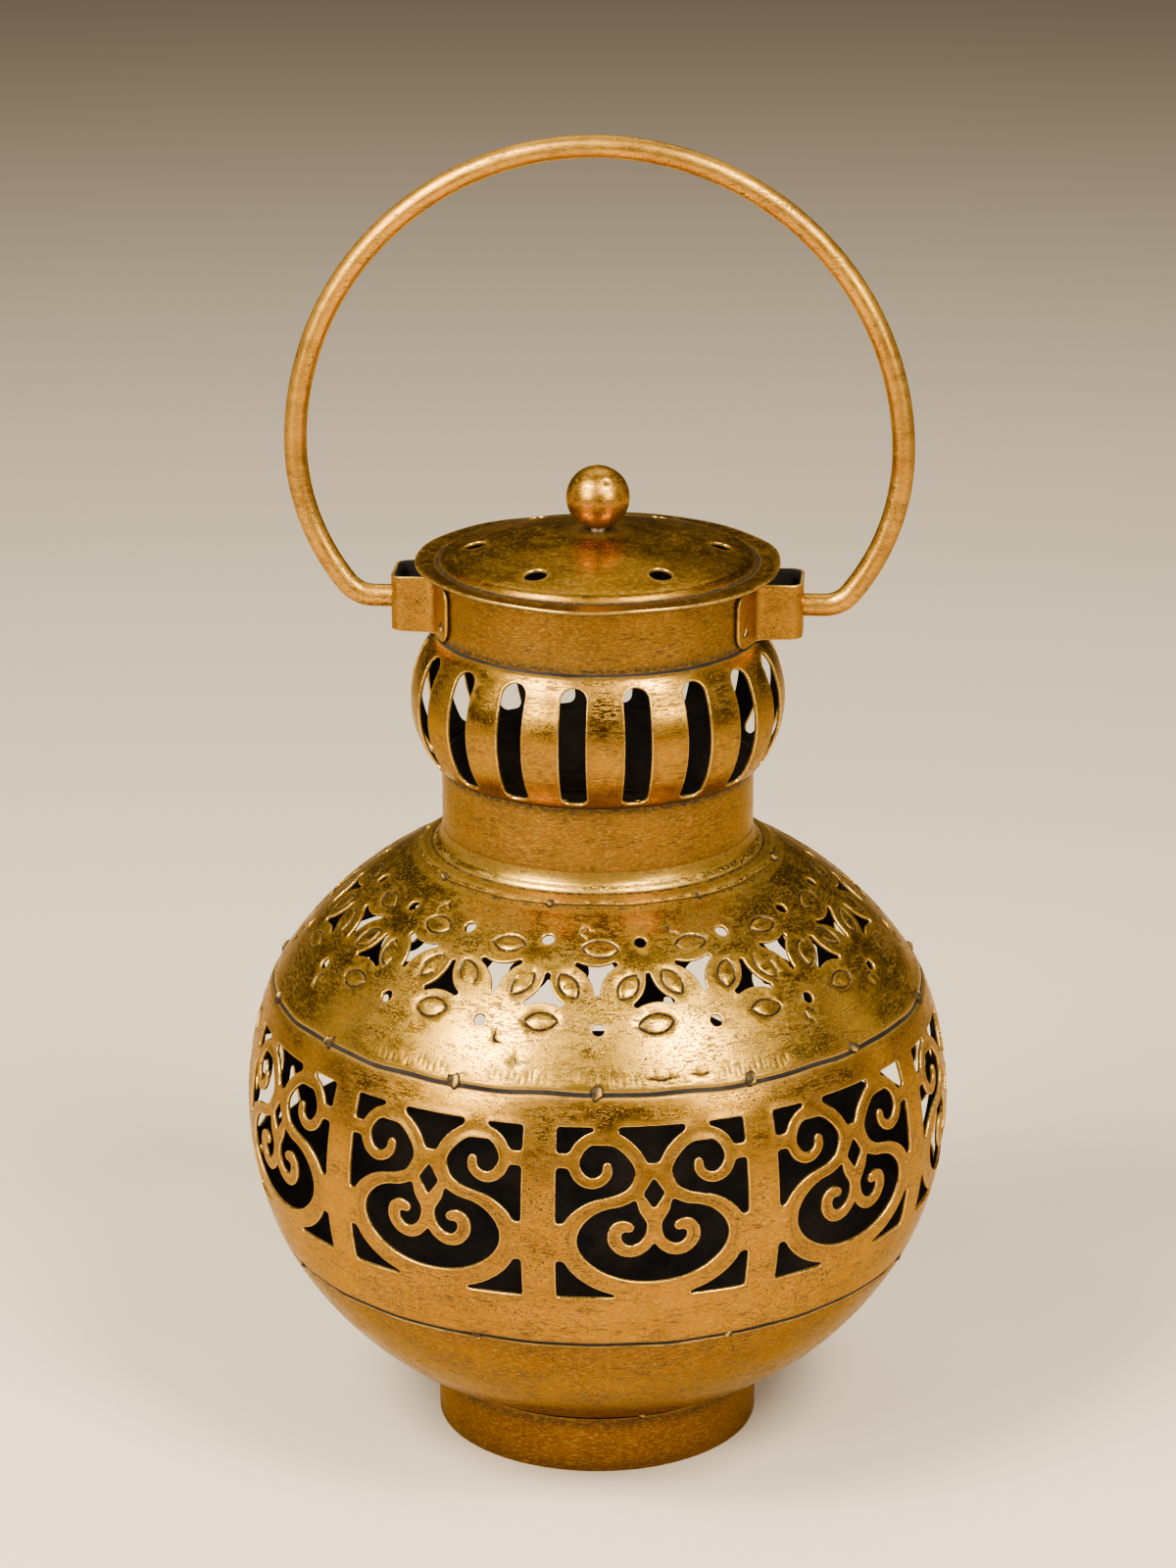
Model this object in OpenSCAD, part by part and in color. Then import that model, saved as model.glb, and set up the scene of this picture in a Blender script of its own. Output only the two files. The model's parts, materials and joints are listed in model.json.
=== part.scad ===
// Hanging candle lantern of spun and pierced sheet metal with a rod bail.
// Millimetres. +Z up, origin on the floor under the centre of the foot ring.
// The bail swings about the X axis line through its two lugs. -Y is the front.

/* [Sheet] */
// Thickness of every sheet metal shell
sheet_t = 1.0; // [0.8:0.1:1.2]

/* [Foot and bowl] */
// Outer radius of the foot ring
foot_r = 43.8; // [42:0.2:46]
// Thickness of the foot strip
foot_t = 1.2; // [0.8:0.1:1.6]
// Height of the underside of the bowl's flat floor
floor_z = 11; // [10:0.5:12]
// Height where the bowl's outside meets the outside of the foot ring
foot_top_z = 16; // [15.5:0.1:16.5]
// Radius of curvature of the bowl wall
bowl_arc_r = 91; // [88:1:96]
// Outer radius at the lower seam
lower_seam_r = 87.3; // [86:0.1:88.5]
// Height of the lower seam
lower_seam_z = 58; // [57:0.5:59]

/* [Scroll band] */
// Radius of curvature of the scroll band
band_arc_r = 84.7; // [83:0.1:88]
// Outer radius at the upper seam
upper_seam_r = 87.8; // [87:0.1:89]
// Height of the upper seam
upper_seam_z = 127.6; // [126:0.2:129]
// Number of scroll panels round the band
panel_n = 10; // [10:1:10]
// Width of a panel window
panel_w = 52; // [50:0.5:53]
// Height of a panel window
panel_h = 46.6; // [46:0.2:47.4]
// Height of the centre of the panel windows
panel_z = 97.1; // [96.5:0.1:97.5]
// Width of the scroll strips left standing in a window
strip_w = 2.6; // [2.4:0.1:3]

/* [Shoulder] */
// Radius of curvature of the shoulder
shoulder_arc_r = 92; // [88:1:98]
// Outer radius of the shoulder's top edge, under the neck flange
shoulder_top_r = 47; // [46:0.2:48]
// Height of the shoulder's top edge
shoulder_top_z = 164; // [163.4:0.2:165]
// Number of repeats of the flower pattern
flower_n = 16; // [16:1:16]
// Width of a star cut-out
star_w = 12.6; // [11:0.2:13]
// Height of a star cut-out, along the slope
star_h = 9.8; // [9:0.2:10.4]
// Diameter of the round holes over and under the flowers
dot_d = 3.2; // [2:0.1:3.6]

/* [Neck] */
// Outer radius of the neck tube
neck_r = 41.5; // [41:0.1:42]
// Height where the flared flange ends and the neck tube begins
neck_z = 170.6; // [170:0.2:172]
// Height where the slotted bulge begins
bulge_z = 188; // [187.5:0.1:188.5]
// Height where the slotted bulge ends and the top collar begins
bulge_top_z = 224.4; // [224:0.1:225]
// Outer radius of the bulge at its widest
bulge_r = 49.6; // [49:0.1:50]
// Radius of curvature of the bulge
bulge_arc_r = 27; // [26:0.5:28]
// Number of slots in the bulge
slot_n = 18; // [16:1:18]
// Width of a slot
slot_w = 7.2; // [6.4:0.1:7.4]
// Height of a slot
slot_h = 31.6; // [29:0.2:32]
// Outer radius of the top collar
collar_r = 42; // [41.8:0.1:42.4]

/* [Lid] */
// Height of the collar's top edge, which the lid rests on
lid_z = 242; // [241:0.5:243]
// Radius of the lid's flat rim
lid_rim_r = 48.5; // [47:0.5:50]
// Radius of the raised dome's foot
dome_r = 41.3; // [41:0.1:42]
// Height of the dome above the lid's underside
dome_h = 9.1; // [8:0.1:10]
// Number of vent holes in the dome
vent_n = 6; // [4:1:8]
// Diameter of a vent hole
vent_d = 6; // [4:0.5:7]
// Distance of the vent holes from the axis
vent_at_r = 32; // [28:0.5:34]
// Diameter of the knob ball
knob_d = 17.6; // [16:0.2:20]

/* [Bail] */
// Diameter of the bail rod
rod_d = 6; // [5:0.1:6.2]
// Height of the bail's pivot line
pivot_z = 232; // [231.5:0.1:232.5]
// Radius of the bail's crown, to the rod's centre line
crown_arc_r = 79.2; // [76:0.2:82]
// Height of the centre of the crown's arc
crown_z = 272.7; // [270:0.1:276]
// Radius of the bail's lower side arcs
side_arc_r = 60; // [56:0.5:64]
// Radius of the bend down into the pivot stubs
bend_r = 9; // [8:0.5:11]

/* [Lugs] */
// Distance from the axis to a lug's outer face
lug_reach = 54; // [53:0.2:55]
// Width of a lug's box, front to back
lug_w = 17; // [16:0.5:18]
// Underside of the lugs
lug_z = 224.6; // [224.6:0.1:225]
// Top edge of the lugs
lug_top_z = 239.4; // [239:0.1:240.5]
// Half angle over which a lug's flanges hug the collar
lug_flange_a = 27.8; // [26:0.2:30]

/* [Candle cup] */
// Radius of the hole that a tealight drops into
cup_r = 20; // [19.8:0.1:20.4]
// Depth of the cup
cup_depth = 9; // [8:0.5:10]

/* [Hidden] */
$fn = 96;

// Turn of each ring's pattern from the front, anticlockwise seen from above
panel_turn = 13.3;
slot_turn = -3.2;
flower_turn = 4.6;
vent_turn = 34.6;

big = 400;
gold = [0.72, 0.55, 0.24];
dark_gold = [0.60, 0.45, 0.20];
steel = [0.55, 0.52, 0.46];

// Corner points of the profile, as [radius, height]
foot_pt = [foot_r, foot_top_z];
lower_seam_pt = [lower_seam_r, lower_seam_z];
upper_seam_pt = [upper_seam_r, upper_seam_z];
shoulder_pt = [shoulder_top_r, shoulder_top_z];

// Centre of the arc of radius r from p up to q, on the side of the axis
function arc_centre(p, q, r) = (p + q) / 2
    + [p[1] - q[1], q[0] - p[0]] / norm(q - p) * sqrt(r * r - norm(q - p) * norm(q - p) / 4);
// Radius that an arc about c has at height z
function arc_at(c, r, z) = c[0] + sqrt(r * r - (z - c[1]) * (z - c[1]));
// Height that an arc about c has at radius x, on its upper side
function arc_top(c, r, x) = c[1] + sqrt(r * r - (x - c[0]) * (x - c[0]));

bowl_c = arc_centre(foot_pt, lower_seam_pt, bowl_arc_r);
band_c = arc_centre(lower_seam_pt, upper_seam_pt, band_arc_r);
shoulder_c = arc_centre(upper_seam_pt, shoulder_pt, shoulder_arc_r);
bulge_c = [bulge_r - bulge_arc_r, (bulge_z + bulge_top_z) / 2];

neck_in_r = neck_r - sheet_t;
collar_in_r = collar_r - sheet_t;
floor_top_z = floor_z + sheet_t;

// Everything between heights z0 and z1, right of the axis
module strip(z0, z1) { translate([0, z0]) square([big, z1 - z0]); }

// Profile of a shell along one arc, cut level at its two ends
module arc_shell(c, r, z0, z1) {
    intersection() {
        difference() {
            translate(c) circle(r = r, $fn = 180);
            translate(c) circle(r = r - sheet_t, $fn = 180);
        }
        translate([c[0], 0]) strip(z0, z1);
    }
}

// Copies the children n times round the axis, starting turn degrees from the front
module around(n, turn) {
    for (k = [0 : n - 1]) rotate([0, 0, turn + k * 360 / n]) children();
}

// Cuts outward through the front of a shell: the children are drawn as seen from the front
module cut_front(depth) {
    rotate([90, 0, 0]) linear_extrude(height = depth) children();
}

// ---- Foot and bowl ----

module foot_ring() {
    color(dark_gold) rotate_extrude() difference() {
        translate([foot_r - foot_t, 0]) square([foot_t, foot_top_z + 1]);
        translate(bowl_c) circle(r = bowl_arc_r, $fn = 180);
    }
}

module base_bowl() {
    color(gold) rotate_extrude() difference() {
        intersection() {
            translate(bowl_c) circle(r = bowl_arc_r, $fn = 180);
            strip(floor_z, lower_seam_z);
        }
        intersection() {
            translate(bowl_c) circle(r = bowl_arc_r - sheet_t, $fn = 180);
            strip(floor_top_z, lower_seam_z + 1);
        }
        translate([-1, 0]) square([1 + rivet_r, floor_top_z + 1]);
    }
}

// ---- Scroll band ----

// Places in the left half of a panel window, as [across, up] from the window's centre
loop_at = [-12.1, 11.5];
loop_r = 8.6;
oval_at = [-11.5, -5.7];
oval_r = 9.7;
curl_at = [-6.8, -5.9];
curl_r = 3.9;
eye_r = 2.6;
stem_w = 3.4;
heart_w = 9;
// Lowest point of the oval's long lower arc, and the height of that arc's centre
oval_foot = -20.5;
base_at = 3.3;

// The big scroll oval, drawn g outside its strip's centre line
module oval(g) {
    base_half = 17.6;
    intersection() {
        translate([0, base_at]) circle(r = base_at - oval_foot + g, $fn = 180);
        union() {
            for (s = [-1, 1]) translate([s * oval_at[0], oval_at[1]]) circle(r = oval_r + g);
            translate([oval_at[0], oval_foot - 5]) square([-2 * oval_at[0], oval_at[1] + oval_r + g - oval_foot + 5]);
            translate([-base_half, oval_foot - 5]) square([2 * base_half, 12.6]);
        }
    }
}

// Everything inside a panel window that stays metal, as plain outlines
module panel_metal() {
    half = strip_w / 2;
    for (s = [0, 1]) mirror([s, 0]) {
        difference() {
            translate(loop_at) circle(r = loop_r + half);
            translate(loop_at) circle(r = loop_r - half);
        }
        difference() {
            translate(curl_at) circle(r = curl_r + half);
            translate(curl_at) circle(r = eye_r);
        }
        // Bridges to the frame: above the loop, beside it, and beside the oval
        translate([loop_at[0] - 3.2, loop_at[1] + loop_r]) square([6.4, panel_h]);
        translate([-panel_w, loop_at[1] + 1.2]) square([panel_w + loop_at[0] - loop_r, 3.4]);
        translate([-panel_w, -10.9]) square([panel_w + oval_at[0] - oval_r, 9.1]);
    }
    difference() {
        oval(half);
        difference() {
            oval(-half);
            translate([-stem_w / 2, -8.9]) square([stem_w, panel_h]);
        }
    }
    translate([-heart_w, -panel_h]) square([2 * heart_w, panel_h + oval_foot + 1]);
    // Web between the two loops
    polygon([[-3.4, 14.1], [3.4, 14.1], [5.4, 2.9], [-5.4, 2.9]]);
}

module panel_openings() {
    difference() {
        square([panel_w, panel_h], center = true);
        panel_metal();
    }
    // The diamond in the middle of the web
    polygon([[0, 10.3], [2.9, 6.1], [0, 1.8], [-2.9, 6.1]]);
}

module scroll_band() {
    color(gold) difference() {
        rotate_extrude() arc_shell(band_c, band_arc_r, lower_seam_z, upper_seam_z);
        around(panel_n, panel_turn) translate([0, -lower_seam_r + 20, panel_z]) cut_front(40) panel_openings();
    }
}

// ---- Shoulder ----

// A point of the shoulder's outside, and how far its normal is tilted up from level, at height z
function shoulder_at(z) = arc_at(shoulder_c, shoulder_arc_r, z);
function shoulder_tilt(z) = asin((z - shoulder_c[1]) / shoulder_arc_r);

star_z = 150.5;
upper_dot_z = 157.4;
lower_dot_z = 141.2;
// Radius of a star's bowed-in sides, and how far they reach past its tips
star_side_r = 9;
star_bite = 0.25;

// Cuts square to the shoulder's surface at height z on the front
module cut_shoulder(z) {
    translate([0, -shoulder_at(z), z]) rotate([-shoulder_tilt(z), 0, 0]) translate([0, 4, 0])
        cut_front(8) children();
}

// Triangle on its tip, with three bowed-in sides that cross just inside its corners
module star() {
    tips = [[-star_w / 2, star_h / 2], [star_w / 2, star_h / 2], [0, -star_h / 2]];
    difference() {
        polygon(tips);
        for (k = [0 : 2]) {
            p = tips[k];
            q = tips[(k + 1) % 3];
            side = norm(q - p);
            out = [p[1] - q[1], q[0] - p[0]] / side;
            translate((p + q) / 2 + out * (sqrt(star_side_r * star_side_r - side * side / 4) - star_bite))
                circle(r = star_side_r, $fn = 60);
        }
    }
}

module flower_shoulder() {
    color(gold) difference() {
        rotate_extrude() arc_shell(shoulder_c, shoulder_arc_r, upper_seam_z, shoulder_top_z);
        around(flower_n, flower_turn) {
            cut_shoulder(star_z) star();
            cut_shoulder(lower_dot_z) circle(d = dot_d, $fn = 24);
        }
        around(flower_n, flower_turn + 180 / flower_n) {
            cut_shoulder(star_z) mirror([0, 1]) star();
            cut_shoulder(upper_dot_z) circle(d = dot_d, $fn = 24);
        }
    }
}

// ---- Neck ----

shoulder_top_in_r = arc_at(shoulder_c, shoulder_arc_r - sheet_t, shoulder_top_z);
flare_r = neck_z - shoulder_top_z - sheet_t;

module neck_flange() {
    color(gold) rotate_extrude() difference() {
        polygon([[shoulder_top_in_r, shoulder_top_z], [shoulder_top_r, shoulder_top_z],
            [shoulder_top_r, shoulder_top_z + sheet_t], [neck_r, neck_z], [neck_in_r, neck_z],
            [neck_in_r, neck_z - sheet_t]]);
        translate([shoulder_top_r, neck_z]) circle(r = flare_r);
    }
}

// Plain tube standing on height z0
module tube(r_out, r_in, z0, z1) {
    translate([0, 0, z0]) difference() {
        cylinder(r = r_out, h = z1 - z0);
        translate([0, 0, -1]) cylinder(r = r_in, h = z1 - z0 + 2);
    }
}

module neck_collar() { color(gold) tube(neck_r, neck_in_r, neck_z, bulge_z); }

module top_collar() { color(gold) tube(collar_r, collar_in_r, bulge_top_z, lid_z); }

slot_foot_r = 1.6;
slot_z = 189.9;

// Slot with a round head and a squarer foot, standing on height zero
module slot() {
    head_z = slot_h - slot_w / 2;
    translate([0, head_z]) circle(d = slot_w, $fn = 48);
    translate([-slot_w / 2, slot_foot_r]) square([slot_w, head_z - slot_foot_r]);
    translate([-slot_w / 2 + slot_foot_r, 0]) square([slot_w - 2 * slot_foot_r, head_z]);
    for (s = [-1, 1]) translate([s * (slot_w / 2 - slot_foot_r), slot_foot_r]) circle(r = slot_foot_r, $fn = 24);
}

module slotted_bulge() {
    lip_r = arc_at(bulge_c, bulge_arc_r, bulge_z) - sheet_t / 2;
    color(gold) difference() {
        rotate_extrude() {
            arc_shell(bulge_c, bulge_arc_r, bulge_z, bulge_top_z);
            for (z = [bulge_z, bulge_top_z - sheet_t])
                translate([neck_in_r, z]) square([lip_r - neck_in_r, sheet_t]);
        }
        around(slot_n, slot_turn) translate([0, -30, slot_z]) cut_front(30) slot();
    }
}

// ---- Lugs and bail ----

stub_end_x = 48;
rod_trim = 0.12;
rod_swell = 0.03;
stub_clearance = 0.06;
lug_corner_r = 3.5;
lug_blend_r = 3;
flange_corner_r = 3.6;
flange_r = collar_r + sheet_t;

// Plan of the right-hand lug's box, grown by g, reaching from the collar out to its rounded corners
module lug_box(g) {
    half = lug_w / 2 + g;
    reach = lug_reach + g;
    corner = lug_corner_r + g;
    translate([20, -half]) square([reach - corner - 20, 2 * half]);
    translate([20, -half + corner]) square([reach - 20, 2 * (half - corner)]);
    for (s = [-1, 1]) translate([reach - corner, s * (half - corner)]) circle(r = corner, $fn = 48);
}

// Hollow corner blend between the box's side wall and its flange
module lug_blend() {
    cy = lug_w / 2 + lug_blend_r;
    cx = sqrt((flange_r + lug_blend_r) * (flange_r + lug_blend_r) - cy * cy);
    foot = [cx, cy] * flange_r / (flange_r + lug_blend_r);
    difference() {
        polygon([[cx, lug_w / 2 - 0.4], [cx, cy], foot, foot * 0.985, [40, lug_w / 2 - 0.4]]);
        translate([cx, cy]) circle(r = lug_blend_r, $fn = 48);
    }
}

module lug_plan() {
    a = lug_flange_a;
    difference() {
        union() {
            lug_box(0);
            intersection() {
                circle(r = flange_r);
                polygon([[0, 0], [big * cos(a), -big * sin(a)], [big * cos(a), big * sin(a)]]);
            }
            lug_blend();
            mirror([0, 1]) lug_blend();
        }
        lug_box(-sheet_t);
        circle(r = collar_r);
    }
}

// Front-on outline of the strap, with round corners at the flange ends
module lug_outline() {
    half = flange_r * sin(lug_flange_a);
    tall = lug_top_z - lug_z;
    translate([-half + flange_corner_r, 0]) square([2 * (half - flange_corner_r), tall]);
    translate([-half, flange_corner_r]) square([2 * half, tall - 2 * flange_corner_r]);
    for (s = [-1, 1], z = [flange_corner_r, tall - flange_corner_r])
        translate([s * (half - flange_corner_r), z]) circle(r = flange_corner_r, $fn = 48);
}

module lug() {
    difference() {
        intersection() {
            translate([0, 0, lug_z]) linear_extrude(height = lug_top_z - lug_z) lug_plan();
            translate([20, 0, lug_z]) rotate([90, 0, 90]) linear_extrude(height = 60) lug_outline();
        }
        translate([lug_reach - 3, 0, pivot_z]) rotate([0, 90, 0])
            cylinder(r = rod_d / 2 + stub_clearance, h = 6);
    }
}

module lug_right() { color(gold) lug(); }

module lug_left() { color(gold) mirror([1, 0, 0]) lug(); }

module lug_spot_welds() {
    weld_z = lug_z + 4;
    weld_a = lug_flange_a - 5;
    color(dark_gold) for (side = [0, 180], s = [-1, 1]) rotate([0, 0, side + s * weld_a])
        translate([flange_r - 0.5, 0, weld_z]) rotate([0, 90, 0]) cylinder(r = 1.5, h = 0.8, $fn = 24);
}

// Rod along an arc in the XZ plane, about x, z, from angle a0 over a, a hair short at both ends
module rod_arc(x, z, r, a0, a) {
    trim = rod_trim / r * 180 / PI;
    translate([x, 0, z]) rotate([90, 0, 0]) rotate([0, 0, a0 + trim])
        rotate_extrude(angle = a - 2 * trim, $fn = 180) translate([r, 0]) circle(d = rod_d, $fn = 48);
}

// Joins two stretches of rod at x, z
module rod_joint(x, z) { translate([x, 0, z]) sphere(r = rod_d / 2 + rod_swell, $fn = 48); }

side_x = crown_arc_r - side_arc_r;
bend_z = pivot_z + bend_r;
bend_x = side_x + sqrt((side_arc_r - bend_r) * (side_arc_r - bend_r) - (crown_z - bend_z) * (crown_z - bend_z));
bend_a = atan2(crown_z - bend_z, bend_x - side_x);

module half_bail() {
    rod_arc(side_x, crown_z, side_arc_r, -bend_a, bend_a);
    rod_arc(bend_x, bend_z, bend_r, -90, 90 - bend_a);
    translate([stub_end_x, 0, pivot_z]) rotate([0, 90, 0])
        cylinder(d = rod_d, h = bend_x - stub_end_x - rod_trim, $fn = 48);
    rod_joint(crown_arc_r, crown_z);
    rod_joint(side_x + side_arc_r * cos(bend_a), crown_z - side_arc_r * sin(bend_a));
    rod_joint(bend_x, pivot_z);
}

module bail_handle() {
    color(dark_gold) {
        rod_arc(0, crown_z, crown_arc_r, 0, 180);
        half_bail();
        mirror([1, 0, 0]) half_bail();
    }
}

// ---- Lid ----

rim_top_z = lid_z + sheet_t;
dome_step_z = rim_top_z + 1.4;
apex_z = lid_z + dome_h;
dome_arc_r = (dome_r * dome_r + (apex_z - dome_step_z) * (apex_z - dome_step_z)) / (2 * (apex_z - dome_step_z));
dome_c = [0, apex_z - dome_arc_r];
sleeve_r = collar_in_r - 0.4;
sleeve_h = 9;
screw_r = 1.95;
screw_clearance = 0.05;
apex_flat_r = 7;
// Flat seat pressed into the underside of the apex, for the washer
seat_z = apex_z - sheet_t - 0.2;
knob_z = apex_z + knob_d / 2 - 0.4;

module lid_cover() {
    sleeve_in_r = sleeve_r - sheet_t;
    color(gold) difference() {
        rotate_extrude() difference() {
            union() {
                translate([0, lid_z]) square([lid_rim_r, sheet_t]);
                intersection() {
                    translate(dome_c) circle(r = dome_arc_r, $fn = 360);
                    translate([0, lid_z]) square([dome_r, big]);
                }
                translate([0, seat_z]) square([apex_flat_r, apex_z - seat_z]);
            }
            difference() {
                intersection() {
                    translate(dome_c) circle(r = dome_arc_r - sheet_t, $fn = 360);
                    translate([0, lid_z - 1]) square([sleeve_in_r, big]);
                }
                translate([0, seat_z]) square([apex_flat_r, apex_z - seat_z]);
            }
            square([screw_r + screw_clearance, big]);
        }
        around(vent_n, vent_turn) translate([0, -vent_at_r, lid_z]) cylinder(d = vent_d, h = 20, $fn = 48);
    }
}

module lid_sleeve() { color(gold) tube(sleeve_r, sleeve_r - sheet_t, lid_z - sleeve_h, lid_z); }

knob_tap_h = 9;

module knob_ball() {
    color(gold) rotate_extrude() difference() {
        intersection() {
            translate([0, knob_z]) circle(d = knob_d);
            translate([0, apex_z]) square([big, knob_d]);
        }
        translate([0, apex_z - 1]) square([screw_r + screw_clearance, knob_tap_h + 1]);
    }
}

washer_r = 6;
washer_t = 0.8;
screw_head_r = 3.6;
screw_head_h = 2.4;
washer_z = seat_z - washer_t;

module knob_screw() {
    color(steel) {
        translate([0, 0, washer_z - screw_head_h]) cylinder(r = screw_head_r, h = screw_head_h, $fn = 48);
        translate([0, 0, washer_z - 1]) cylinder(r = screw_r, h = apex_z + knob_tap_h - 0.5 - washer_z + 1, $fn = 48);
    }
}

module knob_washer() { color(steel) tube(washer_r, screw_r + screw_clearance, washer_z, washer_z + washer_t); }

// ---- Candle cup ----

rivet_r = 2;
rivet_head_r = 4;
rivet_head_h = 1;
// Height of the rivet's flatter head inside the cup
cup_head_h = 0.6;
cup_t = 0.8;
// Slanted corner between the cup's floor and wall
cup_corner = 1.2;
cup_floor_z = floor_top_z + cup_t;
cup_rim_z = cup_floor_z + cup_depth;

module tealight_cup() {
    color(steel) rotate_extrude() polygon([
        [rivet_r, floor_top_z],
        [cup_r + cup_t, floor_top_z],
        [cup_r + cup_t, cup_rim_z],
        [cup_r, cup_rim_z],
        [cup_r, cup_floor_z + cup_corner],
        [cup_r - cup_corner, cup_floor_z],
        [rivet_r, cup_floor_z],
    ]);
}

module cup_rivet() {
    color(steel) translate([0, 0, floor_z - rivet_head_h]) {
        cylinder(r = rivet_head_r, h = rivet_head_h, $fn = 48);
        cylinder(r = rivet_r, h = rivet_head_h + cup_floor_z - floor_z + cup_head_h, $fn = 48);
        translate([0, 0, rivet_head_h + cup_floor_z - floor_z]) cylinder(r = rivet_head_r, h = cup_head_h, $fn = 48);
    }
}

// ---- Weld tacks, small beads sunk halfway into the sheet ----

// Beads of radius b at radius r and height z, at each of the given turns from the front
module tacks(turns, r, z, b) {
    color(dark_gold) for (a = turns) rotate([0, 0, a]) translate([0, -r, z]) sphere(r = b, $fn = 24);
}

module foot_tacks() { tacks([20, 110, 200, 290], foot_r - 0.3, foot_top_z - 0.3, 1.2); }

module lower_seam_tacks() { tacks([for (k = [0 : 7]) -16 + 45 * k], lower_seam_r - 0.6, lower_seam_z, 1.4); }

module upper_seam_tacks() { tacks([for (k = [0 : 13]) 4 + 360 / 14 * k], upper_seam_r - 0.6, upper_seam_z, 1.4); }

module neck_tacks() { tacks([for (k = [0 : 7]) -9 + 45 * k], shoulder_top_r - 0.5, shoulder_top_z + 0.2, 1.3); }

foot_ring();
base_bowl();
scroll_band();
flower_shoulder();
neck_flange();
neck_collar();
slotted_bulge();
top_collar();
lug_right();
lug_left();
lug_spot_welds();
bail_handle();
lid_cover();
lid_sleeve();
knob_ball();
knob_screw();
knob_washer();
tealight_cup();
cup_rivet();
foot_tacks();
lower_seam_tacks();
upper_seam_tacks();
neck_tacks();
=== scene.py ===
import json
import math
import random
from collections import namedtuple

import bmesh
import bpy
import numpy as np
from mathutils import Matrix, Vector, noise
from mathutils.geometry import delaunay_2d_cdt
from mathutils.kdtree import KDTree


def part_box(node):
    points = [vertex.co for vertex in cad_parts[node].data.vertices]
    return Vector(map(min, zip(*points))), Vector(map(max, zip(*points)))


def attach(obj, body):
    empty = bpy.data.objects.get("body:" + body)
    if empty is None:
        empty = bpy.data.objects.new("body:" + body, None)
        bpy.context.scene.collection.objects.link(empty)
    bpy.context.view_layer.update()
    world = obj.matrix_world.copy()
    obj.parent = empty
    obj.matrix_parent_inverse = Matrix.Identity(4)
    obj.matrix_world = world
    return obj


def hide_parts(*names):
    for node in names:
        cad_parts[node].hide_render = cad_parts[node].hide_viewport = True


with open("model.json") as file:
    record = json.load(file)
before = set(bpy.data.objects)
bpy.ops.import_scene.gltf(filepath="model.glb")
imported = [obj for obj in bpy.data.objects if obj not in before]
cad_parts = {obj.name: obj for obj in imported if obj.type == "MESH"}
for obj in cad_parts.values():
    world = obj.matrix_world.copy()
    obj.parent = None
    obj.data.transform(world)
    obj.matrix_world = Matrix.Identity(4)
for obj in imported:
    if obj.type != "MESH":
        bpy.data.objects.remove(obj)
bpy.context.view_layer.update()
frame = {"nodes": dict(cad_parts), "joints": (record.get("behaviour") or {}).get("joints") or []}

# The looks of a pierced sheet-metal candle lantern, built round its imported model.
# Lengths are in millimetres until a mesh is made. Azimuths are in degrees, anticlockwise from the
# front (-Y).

MM = 0.001


# ---- Measures taken from the frame ----

def low(node, axis):
    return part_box(node)[0][axis] / MM


def high(node, axis):
    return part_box(node)[1][axis] / MM


SHEET = 1.0
FOOT_R = high("foot_ring", 0)
FOOT_TOP_Z = 16.0
FLOOR_Z = low("base_bowl", 2)
LOWER_SEAM_R = high("base_bowl", 0)
LOWER_SEAM_Z = low("scroll_band", 2)
UPPER_SEAM_R = high("flower_shoulder", 0)
UPPER_SEAM_Z = low("flower_shoulder", 2)
FLANGE_R = high("neck_flange", 0)
FLANGE_Z = low("neck_flange", 2)
NECK_R = high("neck_collar", 0)
NECK_Z = low("neck_collar", 2)
BULGE_R = high("slotted_bulge", 0)
BULGE_Z = low("slotted_bulge", 2)
BULGE_TOP_Z = high("slotted_bulge", 2)
COLLAR_R = high("top_collar", 0)
LID_Z = low("lid_cover", 2)
LID_R = high("lid_cover", 0)
APEX_Z = low("knob_ball", 2)
KNOB_TOP_Z = high("knob_ball", 2)
PIVOT_Z = next(j["pos_m"][2] for j in frame["joints"] if j["name"] == "bail_swing") / MM

BOWL_ARC_R = 91.0
BAND_ARC_R = 84.7
SHOULDER_ARC_R = 92.0
BULGE_ARC_R = 27.0

PANEL_COUNT, PANEL_TURN, PANEL_Z = 10, 13.3, 96.0
SLOT_COUNT, SLOT_TURN = 18, -3.2
FLOWER_COUNT, FLOWER_TURN, FLOWER_Z = 16, 4.6, 150.5
VENT_COUNT, VENT_TURN, VENT_AT_R, VENT_R = 6, 34.6, 32.0, 3.0


class Arc:
    """Section of a shell: an arc from (r0, z0) up to (r1, z1), bulging outwards.

    Lengths along it start at z_zero.
    """

    def __init__(self, r0, z0, r1, z1, radius, z_zero):
        chord = math.hypot(r1 - r0, z1 - z0)
        side = math.sqrt(radius ** 2 - chord ** 2 / 4)
        self.radius, self.z0, self.z1 = radius, z0, z1
        self.r = (r0 + r1) / 2 + (z0 - z1) / chord * side
        self.z = (z0 + z1) / 2 + (r1 - r0) / chord * side
        self.start = math.asin((z_zero - self.z) / radius)
        self.low, self.high = self.length_at(z0), self.length_at(z1)

    def length_at(self, z):
        return (math.asin((z - self.z) / self.radius) - self.start) * self.radius

    def at(self, t, depth=0.0):
        tilt = self.start + t / self.radius
        return self.r + (self.radius - depth) * np.cos(tilt), self.z + (self.radius - depth) * np.sin(tilt)


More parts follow.
